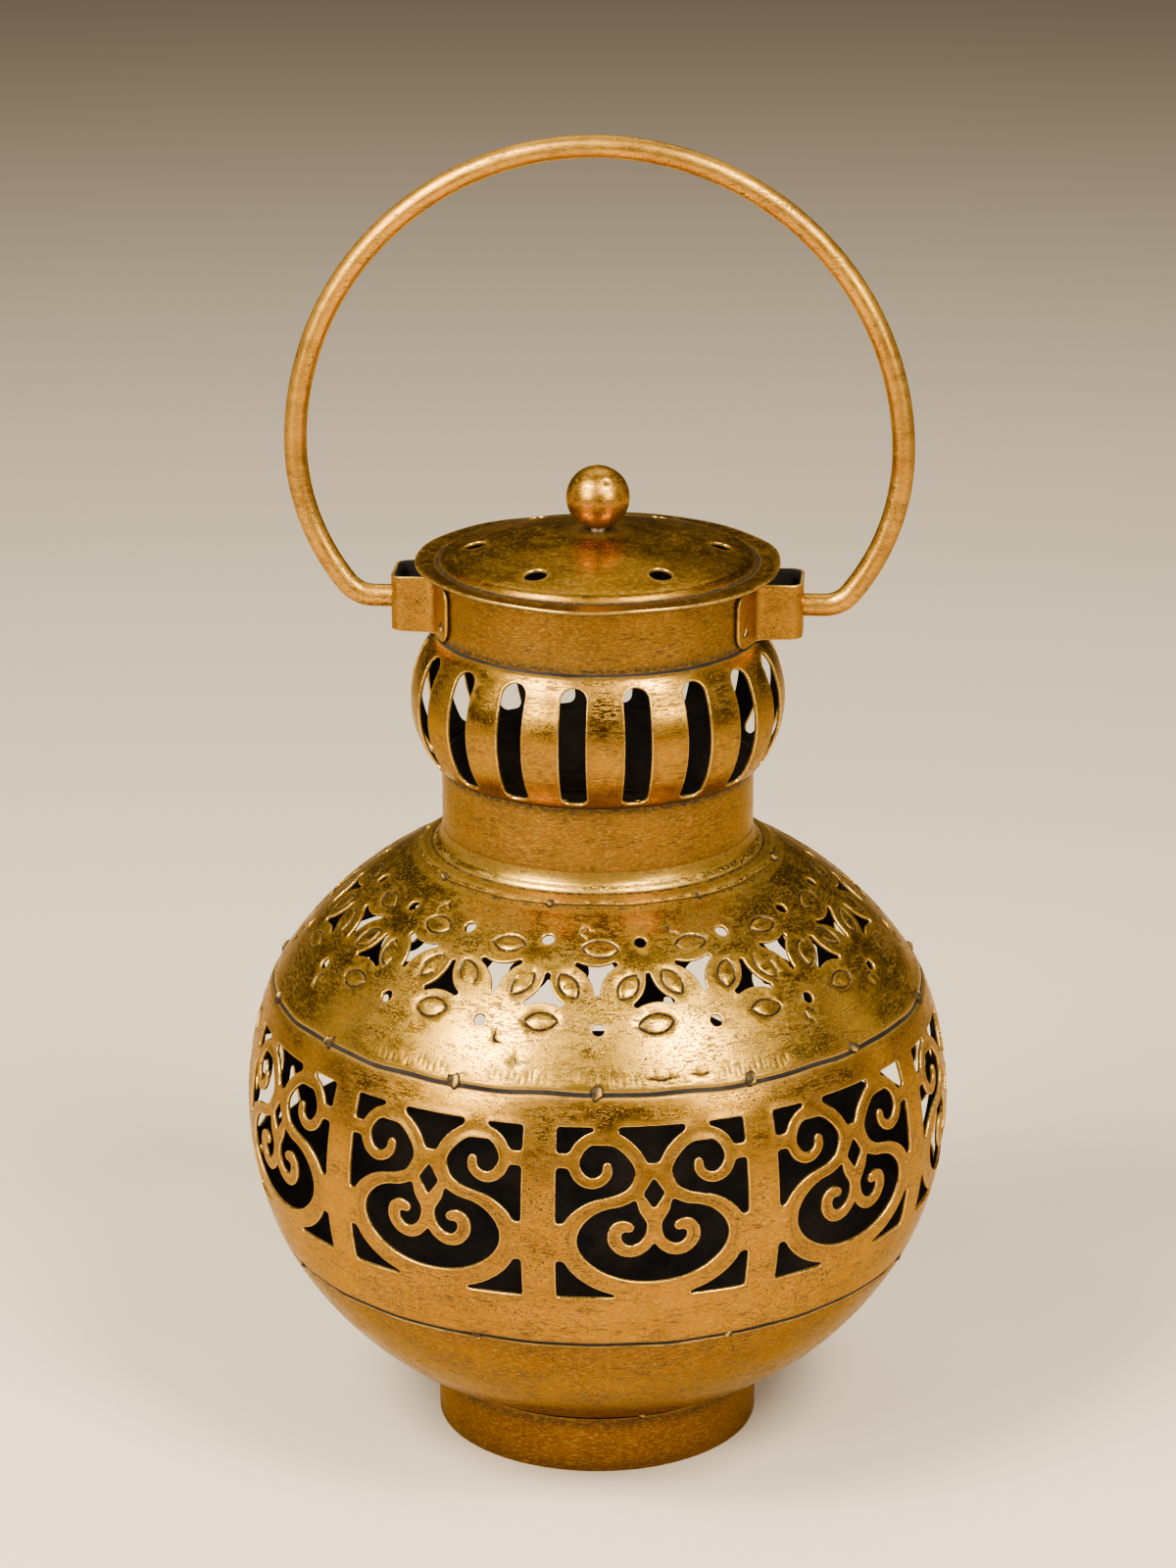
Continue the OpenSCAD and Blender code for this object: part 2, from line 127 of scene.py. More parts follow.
BOWL = Arc(FOOT_R, FOOT_TOP_Z, LOWER_SEAM_R, LOWER_SEAM_Z, BOWL_ARC_R, LOWER_SEAM_Z)
BAND = Arc(LOWER_SEAM_R, LOWER_SEAM_Z, UPPER_SEAM_R, UPPER_SEAM_Z, BAND_ARC_R, PANEL_Z)
SHOULDER = Arc(UPPER_SEAM_R, UPPER_SEAM_Z, FLANGE_R, FLANGE_Z, SHOULDER_ARC_R, FLOWER_Z)
BULGE_MID_Z = (BULGE_Z + BULGE_TOP_Z) / 2
BULGE_SIDE = math.sqrt(BULGE_ARC_R ** 2 - (BULGE_TOP_Z - BULGE_MID_Z) ** 2)
BULGE_END_R = BULGE_R - BULGE_ARC_R + BULGE_SIDE
BULGE = Arc(BULGE_END_R, BULGE_Z, BULGE_END_R, BULGE_TOP_Z, BULGE_ARC_R, BULGE_MID_Z)

# Slow waves of hand-worked sheet: lobes round the axis, height, change per mm of z, phase
WAVES = (
    (2, 0.10, 0.011, 0.4), (3, 0.07, 0.023, 2.1), (5, 0.05, 0.041, 4.0),
    (8, 0.03, 0.07, 1.1), (13, 0.02, 0.11, 5.2),
)


def round_axis(azimuth, r, z, waviness=1.0):
    """Points at azimuth, radius r and height z, sunk a little by the waves of the sheet."""
    a = np.radians(azimuth)
    sunk = sum(h * (1 + np.sin(n * a + k * z + p)) for n, h, k, p in WAVES)
    r = r - waviness * sunk * np.minimum(1.0, r / BULGE_R)
    return np.stack([r * np.sin(a), -r * np.cos(a), z + 0 * a], axis=-1)


def hill(away, width):
    """One where away is zero, falling off to nothing over a few widths."""
    return np.exp(-(away / width) ** 2)


def pair(x, y):
    """Points from their two columns."""
    return np.stack([x, y], axis=1)


def radii(points):
    return np.hypot(points[:, 0], points[:, 1])


def rough(points, size, seed):
    """Smooth noise from -1 to 1 at each point, with features of about the given size in mm."""
    return np.array([noise.noise(Vector(p) / size + Vector((seed, 0, 0))) for p in points.tolist()])


# ---- Making pieces ----

# Points of one mesh that are closer than this, in metres, become one
MERGE_WITHIN_M = 2e-6


class Skin:
    """Points with their marks (edge wear, with a painted glint on weld tacks; grime, with painted shade), and
    the faces on them. Inner faces take the dark material.
    """

    def __init__(self):
        self.points, self.edge, self.grime_and_shade = [], [], []
        self.faces, self.inner = [], []
        self.count = 0

    def add(self, points, edge=0.0, grime_and_shade=0.0):
        n = len(points)
        self.points.append(np.asarray(points, float))
        self.edge.append(np.broadcast_to(edge, n).astype(float))
        self.grime_and_shade.append(np.broadcast_to(grime_and_shade, n).astype(float))
        self.count += n
        return np.arange(self.count - n, self.count)

    def face(self, corners, inner=False):
        self.faces.append([int(c) for c in corners])
        self.inner.append(inner)

    def strip(self, first, second, closed, inner=False):
        """Faces between two rows of points."""
        n = len(first)
        for i in range(n if closed else n - 1):
            j = (i + 1) % n
            self.face((first[i], first[j], second[j], second[i]), inner)


def put_in_scene(name, data):
    made = bpy.data.objects.new(name, data)
    bpy.context.scene.collection.objects.link(made)
    return made


def make_piece(name, skin, materials, body, replaced, sharp=48):
    """Turns a skin into a piece that rides on a body in place of its CAD nodes."""
    mesh = bpy.data.meshes.new(name)
    mesh.from_pydata((np.vstack(skin.points) * MM).tolist(), [], skin.faces)
    for key, values in (("edge", skin.edge), ("grime_and_shade", skin.grime_and_shade)):
        data = mesh.attributes.new(key, "FLOAT", "POINT").data
        data.foreach_set("value", np.concatenate(values).astype(np.float32))
    mesh.polygons.foreach_set("material_index", np.array(skin.inner, dtype=np.int32))
    work = bmesh.new()
    work.from_mesh(mesh)
    bmesh.ops.remove_doubles(work, verts=work.verts, dist=MERGE_WITHIN_M)
    bmesh.ops.delete(work, geom=[v for v in work.verts if not v.link_faces], context="VERTS")
    work.to_mesh(mesh)
    work.free()
    for material in materials:
        mesh.materials.append(material)
    mesh.shade_smooth()
    mesh.set_sharp_from_angle(angle=math.radians(sharp))
    piece = put_in_scene(name, mesh)
    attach(piece, body)
    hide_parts(*replaced)


def lathe(outline, segments, waviness=1.0, tweak=None):
    """A skin from a closed outline of (r, z, edge, grime and painted shade, inner), turned round the axis.

    The outline runs up the outside and comes back down the inside.
    """
    skin = Skin()
    azimuth = np.arange(segments) * 360.0 / segments
    rows = []
    for r, z, edge, grime_and_shade, _ in outline:
        points = round_axis(azimuth, np.full(segments, r), np.full(segments, z), waviness)
        if tweak is not None:
            points = tweak(points, azimuth)
        rows.append(skin.add(points, edge, grime_and_shade))
    for k, row in enumerate(rows):
        skin.strip(row, rows[(k + 1) % len(rows)], True, bool(outline[k][4]))
    return skin


# ---- Pierced sheet ----

# Rounded edge of cut sheet: distance into the metal, depth under the outside, edge wear, grime
RIM = (
    (0.50, 0.05, 0.0, 0.28),
    (0.24, 0.00, 0.2, 0.10),
    (0.08, 0.07, 0.7, 0.0),
    (0.00, 0.24, 0.4, 0.0),
    (0.00, 0.74, 0.1, 0.7),
    (0.10, 0.94, 0.0, 0.9),
    (0.30, 1.00, 0.0, 0.9),
)
# The same for the edges that meet in a weld seam: softer and dirtier
SEAM_RIM = (
    (1.35, 0.05, 0.0, 0.15),
    (0.85, 0.09, 0.0, 0.35),
    (0.45, 0.18, 0.1, 0.50),
    (0.16, 0.36, 0.25, 0.4),
    (0.00, 0.62, 0.0, 1.3),
    (0.05, 0.85, 0.0, 1.3),
    (0.30, 1.00, 0.0, 1.0),
)
# Rows of the rim from here on are inside the shell; and how close the triangulation joins points
DARK_RIM_FROM, SNAP = 4, 1e-6


def rings_of(line, closed=True, rim=RIM, warp=None):
    """The line, which has the metal on its right, moved into the metal by each of the rim's distances."""
    ahead, behind = np.roll(line, -1, axis=0), np.roll(line, 1, axis=0)
    if not closed:
        ahead[-1], behind[0] = line[-1], line[0]
    along = ahead - behind
    along /= np.linalg.norm(along, axis=1)[:, None]
    right = pair(along[:, 1], -along[:, 0])
    rings = [line + right * step[0] for step in rim]
    return [warp(ring) for ring in rings] if warp else rings


def crossings(points, loops):
    """Whether an odd number of loop edges lies to the right of each point."""
    odd = np.zeros(len(points), bool)
    x, y = points[:, 0], points[:, 1]
    for loop in loops:
        a, b = loop, np.roll(loop, -1, axis=0)
        near = np.nonzero((y >= loop[:, 1].min()) & (y <= loop[:, 1].max()) & (x <= loop[:, 0].max()))[0]
        px, py = x[near, None], y[near, None]
        spans = (a[:, 1] > py) != (b[:, 1] > py)
        rise = np.where(b[:, 1] == a[:, 1], 1.0, b[:, 1] - a[:, 1])
        hit = spans & (px < a[:, 0] + (py - a[:, 1]) * (b[:, 0] - a[:, 0]) / rise)
        odd[near] ^= (hit.sum(axis=1) % 2).astype(bool)
    return odd


def far_from(points, taken, gap):
    """The points that stay gap away from the taken ones and from each other."""
    tree = KDTree(len(taken) + len(points))
    kept = []
    for i, p in enumerate(taken):
        tree.insert((p[0], p[1], 0), i)
    tree.balance()
    cells = {}
    for p in points.tolist():
        if tree.find((p[0], p[1], 0))[2] < gap:
            continue
        key = (math.floor(p[0] / gap), math.floor(p[1] / gap))
        close = [q for i in (-1, 0, 1) for j in (-1, 0, 1)
                 for q in cells.get((key[0] + i, key[1] + j), ())]
        if all(math.dist(p, q) > gap for q in close):
            cells.setdefault(key, []).append(p)
            kept.append(p)
    return np.array(kept).reshape(-1, 2)


def hex_grid(x0, x1, y0, y1, step):
    rows = []
    for k, y in enumerate(np.arange(y0, y1, step * 0.87)):
        xs = np.arange(x0 + (k % 2) * step / 2, x1, step)
        rows.append(pair(xs, np.full(len(xs), y)))
    return np.vstack(rows)


def near_lines(points, lines):
    """Distance of each 3D point to the nearest stamped line, and that line's strength there."""
    tree = KDTree(sum(len(line) for line, _ in lines))
    strengths = np.concatenate([s for _, s in lines])
    for i, p in enumerate(np.vstack([line for line, _ in lines]).tolist()):
        tree.insert(p, i)
    tree.balance()
    found = [tree.find(p) for p in points.tolist()]
    return np.array([f[2] for f in found]), strengths[[f[1] for f in found]]


class Sheet(Skin):
    """One cell of a pierced sheet: an outside, an inside, and rounded edges between them.

    Its points are flat coordinates, each with a depth under the outside.
    """

    def __init__(self, borders, sides, holes, has_outline):
        super().__init__()
        self.depth, self.sides = [], sides
        self.loops = [h[0] for h in holes] + ([b[0] for b in borders] if has_outline else [])
        self.odd_is_metal = has_outline
        self.outside, self.inside = [], []
        border_rim = RIM if has_outline else SEAM_RIM
        edges = [(h, True, RIM) for h in holes] + [(b, has_outline, border_rim) for b in borders]
        for rings, closed, rim in edges:
            rows = [self.add(ring, *step[1:]) for ring, step in zip(rings, rim)]
            for k, (first, second) in enumerate(zip(rows, rows[1:])):
                self.strip(first, second, closed, k >= DARK_RIM_FROM)
            self.outside.append((rows[0], closed))
            self.inside.append((rows[-1], closed))

    def add(self, flat, depth, edge=0.0, grime_and_shade=0.0):
        self.depth.append(np.broadcast_to(depth, len(flat)).astype(float))
        return super().add(np.asarray(flat, float).reshape(-1, 2), edge, grime_and_shade)

    def cover(self, rows, fill, depth, gap, inner, extra_depth=None):
        """Triangles over the whole cell, from its edge rows and fill points."""
        side_rows = [self.add(side, depth) for side in self.sides]
        known = np.concatenate([row for row, _ in rows] + side_rows)
        fill = fill[crossings(fill, self.loops) == self.odd_is_metal]
        fill = far_from(fill, np.vstack(self.points)[known], gap)
        extra = self.add(fill, depth)
        if extra_depth is not None:
            drop, grime_and_shade = extra_depth(fill)
            self.depth[-1] = self.depth[-1] + drop
            self.grime_and_shade[-1] = np.maximum(self.grime_and_shade[-1], grime_and_shade)
        self.triangulate(np.concatenate([known, extra]), rows, inner)

    def triangulate(self, ids, rows, inner):
        """Faces on the metal between these points, with the edge rows kept as lines."""
        place = {int(v): i for i, v in enumerate(ids)}
        lines = []
        for row, closed in rows:
            pairs = list(zip(row, np.roll(row, -1)))
            lines += [(place[int(a)], place[int(b)]) for a, b in (pairs if closed else pairs[:-1])]
        corners = [Vector(p) for p in np.vstack(self.points)[ids].tolist()]
        points, _, triangles, origin, _, _ = delaunay_2d_cdt(corners, lines, [], 0, SNAP)
        middle = np.array([[sum(points[v][c] for v in t) / 3 for c in (0, 1)] for t in triangles])
        metal = crossings(middle, self.loops) == self.odd_is_metal
        for triangle, keep in zip(triangles, metal):
            if keep and all(origin[v] for v in triangle):
                corner = [ids[origin[v][0]] for v in triangle]
                self.face(corner[::-1] if inner else corner, inner)

    def copy_to(self, skin, place):
        """Adds the cell to a skin, with place turning flat coordinates and depths into points."""
        ids = skin.add(place(np.vstack(self.points), np.concatenate(self.depth)),
                       np.concatenate(self.edge), np.concatenate(self.grime_and_shade))
        for face, inner in zip(self.faces, self.inner):
            skin.face([ids[v] for v in face], inner)


# Half the width of a seam's groove, how far from a seam the sheet follows it, and the mesh there
SEAM_GAP, SWAY_REACH, BORDER_STEP = 0.48, 2.5, 2.2


def seam_sway(azimuth, seam_z):
    """How far the seam at this height wanders up and down where the sheets were cut by hand."""
    a = np.radians(azimuth)
    phase = 0.7 * seam_z
    waves = ((0.22, 7, 1), (0.16, 16, 2), (0.11, 29, 3))
    return sum(height * np.sin(lobes * a + k * phase) for height, lobes, k in waves)


def seam_pull(azimuth, away, seam_z):
    """How far a place at this distance from the seam moves with it."""
    return seam_sway(azimuth, seam_z) * hill(away, SWAY_REACH)


# Lines stamped into a sheet, mesh points along them, and functions for their depth and for other darkening,
# which is painted shadow along the flange's edge
Stamps = namedtuple("Stamps", "lines points depth_of dirt")
# How far fill points stay from a ring's lower and upper edge and from its sides
FILL_LOW, FILL_HIGH, FILL_SIDE = 2.0, 1.8, 0.2


class Ring:
    """A pierced ring of equal cells round a shell, drawn flat: azimuth times ref, length along the arc."""

    def __init__(self, arc, count, first_turn, ref, waviness=1.0, top_gap=SEAM_GAP):
        self.arc, self.count, self.first_turn, self.ref = arc, count, first_turn, ref
        self.waviness = waviness
        self.half = math.radians(360 / count) / 2 * ref
        self.bottom, self.top = arc.low + SEAM_GAP, arc.high - top_gap

    def warp_at(self, azimuth, t):
        """Takes true millimetres round a point of the ring to flat coordinates."""
        def warp(local):
            r, _ = self.arc.at(t + local[:, 1])
            return pair((math.radians(azimuth) + local[:, 0] / r) * self.ref, t + local[:, 1])
        return warp

    def place(self, flat, depth=0.0, turn=0.0, waves=0.0):
        """Points in space for flat coordinates and depths under the outside."""
        azimuth = np.degrees(flat[:, 0] / self.ref) + turn
        arc, t = self.arc, flat[:, 1]
        sway = waves * (seam_pull(azimuth, t - arc.low, arc.z0) + seam_pull(azimuth, t - arc.high, arc.z1))
        r, z = arc.at(t + sway, depth * SHEET)
        return round_axis(azimuth, r, z, waves)

    def border(self, t, direction):
        xs = np.linspace(-self.half, self.half, max(8, int(2 * self.half / BORDER_STEP)))[::direction]
        return rings_of(pair(xs, np.full(len(xs), t)), False, SEAM_RIM)

    def sides(self, offset, step):
        count = max(4, int((self.top - self.bottom) / step))
        ts = np.linspace(self.bottom + offset, self.top - offset, count)[1:-1]
        return [pair(np.full(len(ts), x), ts) for x in (-self.half, self.half)]

    def well_inside(self, points, margin):
        x, y = points.T
        near_side = np.abs(x) >= self.half - FILL_SIDE
        return points[~near_side & (y > self.bottom + margin) & (y < self.top - margin)]

    def depths(self, stamps):
        """A function that says how far flat points sink by the stamps, and how dark grime and painted shadow
        make them.
        """
        lines = [(self.place(line), strength) for line, strength in stamps.lines]

        def at(flat):
            drop, grime_and_shade = stamps.depth_of(*near_lines(self.place(flat), lines))
            return drop, np.maximum(grime_and_shade, stamps.dirt(flat)) if stamps.dirt else grime_and_shade
        return at

    def cell(self, holes, step, gap, stamps=None):
        """One cell of the sheet, with fill points a step apart and a gap away from all others."""
        half, bottom, top = self.half, self.bottom, self.top
        borders = [self.border(bottom, -1), self.border(top, 1)]
        sheet = Sheet(borders, self.sides(SEAM_RIM[0][0], step), holes, False)
        fill = hex_grid(-half + step / 2, half - step / 3, bottom + FILL_LOW, top - FILL_HIGH, step)
        if stamps:
            fill = np.vstack([self.well_inside(stamps.points, SEAM_RIM[0][0] + gap), fill])
        sheet.cover(sheet.outside, fill, RIM[0][1], gap, False, self.depths(stamps) if stamps else None)
        sheet.sides = self.sides(SEAM_RIM[-1][0], step * 2)
        coarse = hex_grid(-half + step, half - step / 2, bottom + FILL_LOW, top - FILL_LOW, step * 2)
        sheet.cover(sheet.inside, coarse, RIM[-1][1], gap * 2, True)
        return sheet

    def all_round(self, sheet):
        """A skin of copies of the cell."""
        skin = Skin()
        for k in range(self.count):
            turn = self.first_turn + k * 360 / self.count
            sheet.copy_to(skin, lambda flat, depth: self.place(flat, depth, turn, self.waviness))
        return skin


# Waviness of the neck
NECK_WAVES = 0.35
BAND_RING = Ring(BAND, PANEL_COUNT, PANEL_TURN, 95.0)
SHOULDER_RING = Ring(SHOULDER, 1, FLOWER_TURN - 360 / FLOWER_COUNT / 4, 72.0, top_gap=-0.5)
BULGE_RING = Ring(BULGE, SLOT_COUNT, SLOT_TURN, BULGE_R, NECK_WAVES)


# ---- Outlines ----

def circle_line(radius, count):
    a = np.arange(count) * 2 * math.pi / count
    return pair(radius * np.cos(a), radius * np.sin(a))


def turned(line, degrees):
    c, s = math.cos(math.radians(degrees)), math.sin(math.radians(degrees))
    return line @ np.array([[c, s], [-s, c]])


def arc_line(centre, radius, a0, a1, count):
    a = np.linspace(a0, a1, count)
    return pair(centre[0] + radius * np.cos(a), centre[1] + radius * np.sin(a))


def star_line(width, height, tip_r=0.75, side_r=9.7):
    """Triangle on its tip with bowed-in sides and round tips, anticlockwise."""
    tips = [np.array(p) for p in ((0, tip_r - height / 2), (width / 2 - tip_r, height / 2 - tip_r),
                                  (tip_r - width / 2, height / 2 - tip_r))]
    hubs = []
    for k in range(3):
        p, q = tips[k], tips[(k + 1) % 3]
        side = np.linalg.norm(q - p)
        out = np.array([q[1] - p[1], p[0] - q[0]]) / side
        hubs.append((p + q) / 2 + out * math.sqrt((side_r + tip_r) ** 2 - side ** 2 / 4))
    line = []
    for k in range(3):
        tip, nxt = tips[k], tips[(k + 1) % 3]
        a0 = math.atan2(*(hubs[k - 1] - tip)[::-1])
        a1 = math.atan2(*(hubs[k] - tip)[::-1])
        line.append(arc_line(tip, tip_r, a0, a0 + (a1 - a0) % (2 * math.pi), 7))
        b0 = math.atan2(*(tip - hubs[k])[::-1])
        b1 = math.atan2(*(nxt - hubs[k])[::-1])
        line.append(arc_line(hubs[k], side_r, b0, b0 - (b0 - b1) % (2 * math.pi), 13)[1:-1])
    return np.vstack(line)


def slot_line(width, bottom, top, foot_r):
    """Upright slot with a round head and a squarer foot, anticlockwise."""
    half = width / 2
    left, right = -half, half
    head = top - half
    side = np.linspace(bottom + foot_r, head, 22)[1:-1]
    return np.vstack([
        arc_line((right - foot_r, bottom + foot_r), foot_r, -math.pi / 2, 0, 7),
        pair(np.full(len(side), right), side),
        arc_line((0, head), half, 0, math.pi, 15),
        pair(np.full(len(side), left), side[::-1]),
        arc_line((left + foot_r, bottom + foot_r), foot_r, math.pi, math.pi * 1.5, 7),
    ])


def leaf_line(length, width, step=0.3):
    """Stamped leaf: two arcs that meet in points."""
    radius = (length ** 2 + width ** 2) / (4 * width)
    a = math.asin(length / 2 / radius)
    count = int(length / step)
    lower = arc_line((0, radius - width / 2), radius, -math.pi / 2 - a, -math.pi / 2 + a, count)
    return np.vstack([lower, -lower[1:-1]])


def smooth_path(points, steps):
    """Curve through the points, with their further columns carried along."""
    p = np.array(points, float)
    p = np.vstack([2 * p[0] - p[1], p, 2 * p[-1] - p[-2]])
    out = []
    for i in range(1, len(p) - 2):
        for u in np.arange(steps) / steps:
            out.append(0.5 * (2 * p[i] + (p[i + 1] - p[i - 1]) * u
                              + (2 * p[i - 1] - 5 * p[i] + 4 * p[i + 1] - p[i + 2]) * u * u
                              + (3 * p[i] - p[i - 1] - 3 * p[i + 1] + p[i + 2]) * u ** 3))
    return np.vstack([out, p[-2]])


# ---- Scroll panel, drawn flat: across from the panel's centre line, along the section from PANEL_Z ----

WINDOW_HALF, WINDOW_LOW, WINDOW_HIGH = 25.4, -22.3, 24.6
# Centre line of the left scroll from its hook down to the foot of the oval: across, up, width
SCROLL = (
    (-12.0, 14.5, 2.4), (-12.1, 12.5, 2.5), (-13.9, 10.7, 2.6), (-16.6, 10.2, 2.7), (-19.3, 11.8, 3.0),
    (-20.7, 14.9, 2.9), (-20.2, 17.9, 3.2), (-18.1, 20.6, 3.1), (-15.0, 22.0, 3.1), (-11.4, 22.0, 3.3),
    (-7.9, 20.3, 3.5), (-4.9, 17.4, 3.6), (-3.2, 14.2, 3.4), (-3.3, 11.4, 3.4), (-5.3, 7.7, 3.3),
    (-8.8, 5.7, 3.2), (-12.2, 4.9, 2.9), (-15.6, 3.8, 3.4), (-18.6, 1.8, 3.9), (-20.9, -0.9, 4.4),
    (-21.9, -4.2, 4.2), (-21.8, -7.6, 4.4), (-20.6, -11.0, 5.0), (-18.2, -13.9, 5.2), (-14.6, -16.6, 5.2),
    (-10.2, -18.6, 5.1), (-5.2, -19.8, 5.0), (0.0, -20.2, 5.0),
)
# Centre line of the left inner curl, from the web down the stem to its tip
CURL = (
    (-0.3, 3.0, 2.8), (-0.5, -1.0, 2.6), (-0.8, -3.8, 2.8), (-1.9, -6.1, 3.0), (-3.9, -7.8, 3.1),
    (-6.2, -8.4, 3.1), (-8.5, -7.6, 3.3), (-10.0, -5.7, 3.5), (-10.3, -3.8, 3.5), (-9.7, -2.1, 3.3),
    (-8.2, -1.3, 3.0), (-6.4, -1.7, 2.6),
)
# Solid parts of the left half: bridges to the frame and the web between the loops
SOLID_PARTS = (
    ((-15.3, 20.0), (-9.1, 20.0), (-9.1, 27.0), (-15.3, 27.0)),
    ((-28.0, 14.1), (-20.0, 14.1), (-20.0, 17.8), (-28.0, 17.8)),
    ((-28.0, -11.2), (-20.5, -11.2), (-20.5, -0.9), (-28.0, -0.9)),
    ((-9.8, -26.0), (9.8, -26.0), (9.8, -18.5), (-9.8, -18.5)),
    ((-1.7, -0.8), (1.7, -0.8), (3.9, 2.6), (5.2, 8.0), (3.0, 15.1), (-3.0, 15.1), (-5.2, 8.0), (-3.9, 2.6)),
)
DIAMOND = ((0.0, 3.0), (2.9, 7.2), (0.0, 11.5), (-2.9, 7.2))


def stroke_distance(points, path):
    """Distance to a stroke whose path has a width at each point."""
    best = np.full(len(points), 1e9)
    for a, b in zip(path[:-1], path[1:]):
        d = b[:2] - a[:2]
        h = np.clip((points - a[:2]) @ d / (d @ d), 0, 1)
        away = points - a[:2] - h[:, None] * d
        best = np.minimum(best, radii(away) - (a[2] + (b[2] - a[2]) * h) / 2)
    return best


def convex_distance(points, corners):
    """Distance to a convex shape with anticlockwise corners, below zero inside."""
    best = np.full(len(points), -1e9)
    for a, b in zip(np.array(corners), np.roll(np.array(corners), -1, axis=0)):
        out = np.array([b[1] - a[1], a[0] - b[0]]) / np.linalg.norm(b - a)
        best = np.maximum(best, (points - a) @ out)
    return best


def soft_min(a, b, k=0.55):
    h = np.clip(0.5 + 0.5 * (b - a) / k, 0, 1)
    return b + (a - b) * h - k * h * (1 - h)


def panel_field(points):
    """Distance from each point to the panel's metal: above zero in its openings."""
    half = pair(-np.abs(points[:, 0]), points[:, 1])
    frame_gap = np.minimum.reduce([half[:, 0] + WINDOW_HALF, WINDOW_HIGH - half[:, 1],
                                   half[:, 1] - WINDOW_LOW])
    field = soft_min(frame_gap, stroke_distance(half, smooth_path(SCROLL, 5)))
    field = soft_min(field, stroke_distance(half, smooth_path(CURL, 5)))
    for part in SOLID_PARTS:
        field = soft_min(field, convex_distance(half, part))
    return np.maximum(field, -convex_distance(points, DIAMOND))


# Marching squares: for each pattern of corners inside, the cell edges that a line enters and leaves by
CROSSED = {
    1: ((0, 3),), 2: ((1, 0),), 3: ((1, 3),), 4: ((2, 1),), 5: ((0, 3), (2, 1)),
    6: ((2, 0),), 7: ((2, 3),), 8: ((3, 2),), 9: ((0, 2),), 10: ((1, 0), (3, 2)),
    11: ((1, 2),), 12: ((3, 1),), 13: ((0, 1),), 14: ((3, 0),),
}


def zero_lines(field, xs, ys):
    """Closed lines where field[x, y] is zero, anticlockwise round the places above zero."""
    inside = field > 0
    pattern = inside[:-1, :-1] + 2 * inside[1:, :-1] + 4 * inside[1:, 1:] + 8 * inside[:-1, 1:]
    follow = {}
    for i, j in zip(*np.nonzero((pattern > 0) & (pattern < 15))):
        keys = ((0, i, j), (1, i + 1, j), (0, i, j + 1), (1, i, j))
        for enter, leave in CROSSED[int(pattern[i, j])]:
            follow[keys[enter]] = keys[leave]

    def point(key):
        kind, i, j = key
        other = (i + 1, j) if kind == 0 else (i, j + 1)
        u = field[i, j] / (field[i, j] - field[other])
        return (xs[i] + (xs[other[0]] - xs[i]) * u, ys[j] + (ys[other[1]] - ys[j]) * u)

    loops = []
    while follow:
        start, key = next(iter(follow.items()))
        del follow[start]
        line = [point(start)]
        while key != start:
            line.append(point(key))
            key = follow.pop(key)
        loops.append(np.array(line))
    return loops


def evenly(loop, step, smoothing=1):
    """The closed loop with points a step apart."""
    ring = np.vstack([loop, loop[:1]])
    travelled = np.concatenate([[0], np.cumsum(np.linalg.norm(np.diff(ring, axis=0), axis=1))])
    count = max(8, int(travelled[-1] / step))
    at = np.arange(count) * travelled[-1] / count
    out = np.stack([np.interp(at, travelled, ring[:, c]) for c in (0, 1)], axis=1)
    for _ in range(smoothing):
        out = (np.roll(out, 1, axis=0) + 2 * out + np.roll(out, -1, axis=0)) / 4
    return out


def beside(line, offsets):
    """Points on a line and beside it at the given distances."""
    along = np.gradient(line, axis=0)
    along /= np.linalg.norm(along, axis=1)[:, None] + 1e-9
    right = pair(along[:, 1], -along[:, 0])
    return np.vstack([line + right * o for o in offsets])


def panel_lines():
    """Soft hollows along the middles of the scrolls, both halves, with their strengths."""
    lines = []
    for path, first, last in ((SCROLL, 0.1, 0.97), (CURL, 0.25, 0.97)):
        curve = smooth_path(path, 12)
        curve = curve[int(len(curve) * first):int(len(curve) * last)]
        fade = np.sin(np.linspace(0, math.pi, len(curve))) ** 0.4
        for side in (1, -1):
            lines.append((curve[:, :2] * (side, 1), fade))
    return lines


def hollow_depth(distance, strength):
    """How deep a scroll's hollow is at this distance from its line, and how dirty."""
    return 0.16 * (strength * hill(distance, 0.85)), 0.62 * strength * hill(distance, 0.55)


# Steps of the field and of its outlines, and the points that an outline has at least
FIELD_STEP, HOLE_STEP, SHORTEST_LOOP = 0.25, 0.70, 12


def panel_openings():
    """Outlines of the panel's openings, without the specks that are too short to cut."""
    xs = np.arange(-WINDOW_HALF - 1, WINDOW_HALF + 1.1, FIELD_STEP)
    ys = np.arange(WINDOW_LOW - 1, WINDOW_HIGH + 1.1, FIELD_STEP)
    grid = np.stack(np.meshgrid(xs, ys, indexing="ij"), axis=-1)
    field = panel_field(grid.reshape(-1, 2)).reshape(len(xs), len(ys))
    return [evenly(loop, HOLE_STEP) for loop in zero_lines(field, xs, ys) if len(loop) > SHORTEST_LOOP]


def build_scroll_band(materials):
    holes = [rings_of(loop) for loop in panel_openings()]
    lines = panel_lines()
    points = np.vstack([beside(line[::4], (0.0, 0.55, -0.55)) for line, _ in lines])
    cell = BAND_RING.cell(holes, 2.6, 0.42, Stamps(lines, points, hollow_depth, None))
    skin = BAND_RING.all_round(cell)
    make_piece("scroll_band_shell", skin, materials, "lantern", ["scroll_band"])


# ---- Shoulder: cut stars and round holes, stamped leaves ----

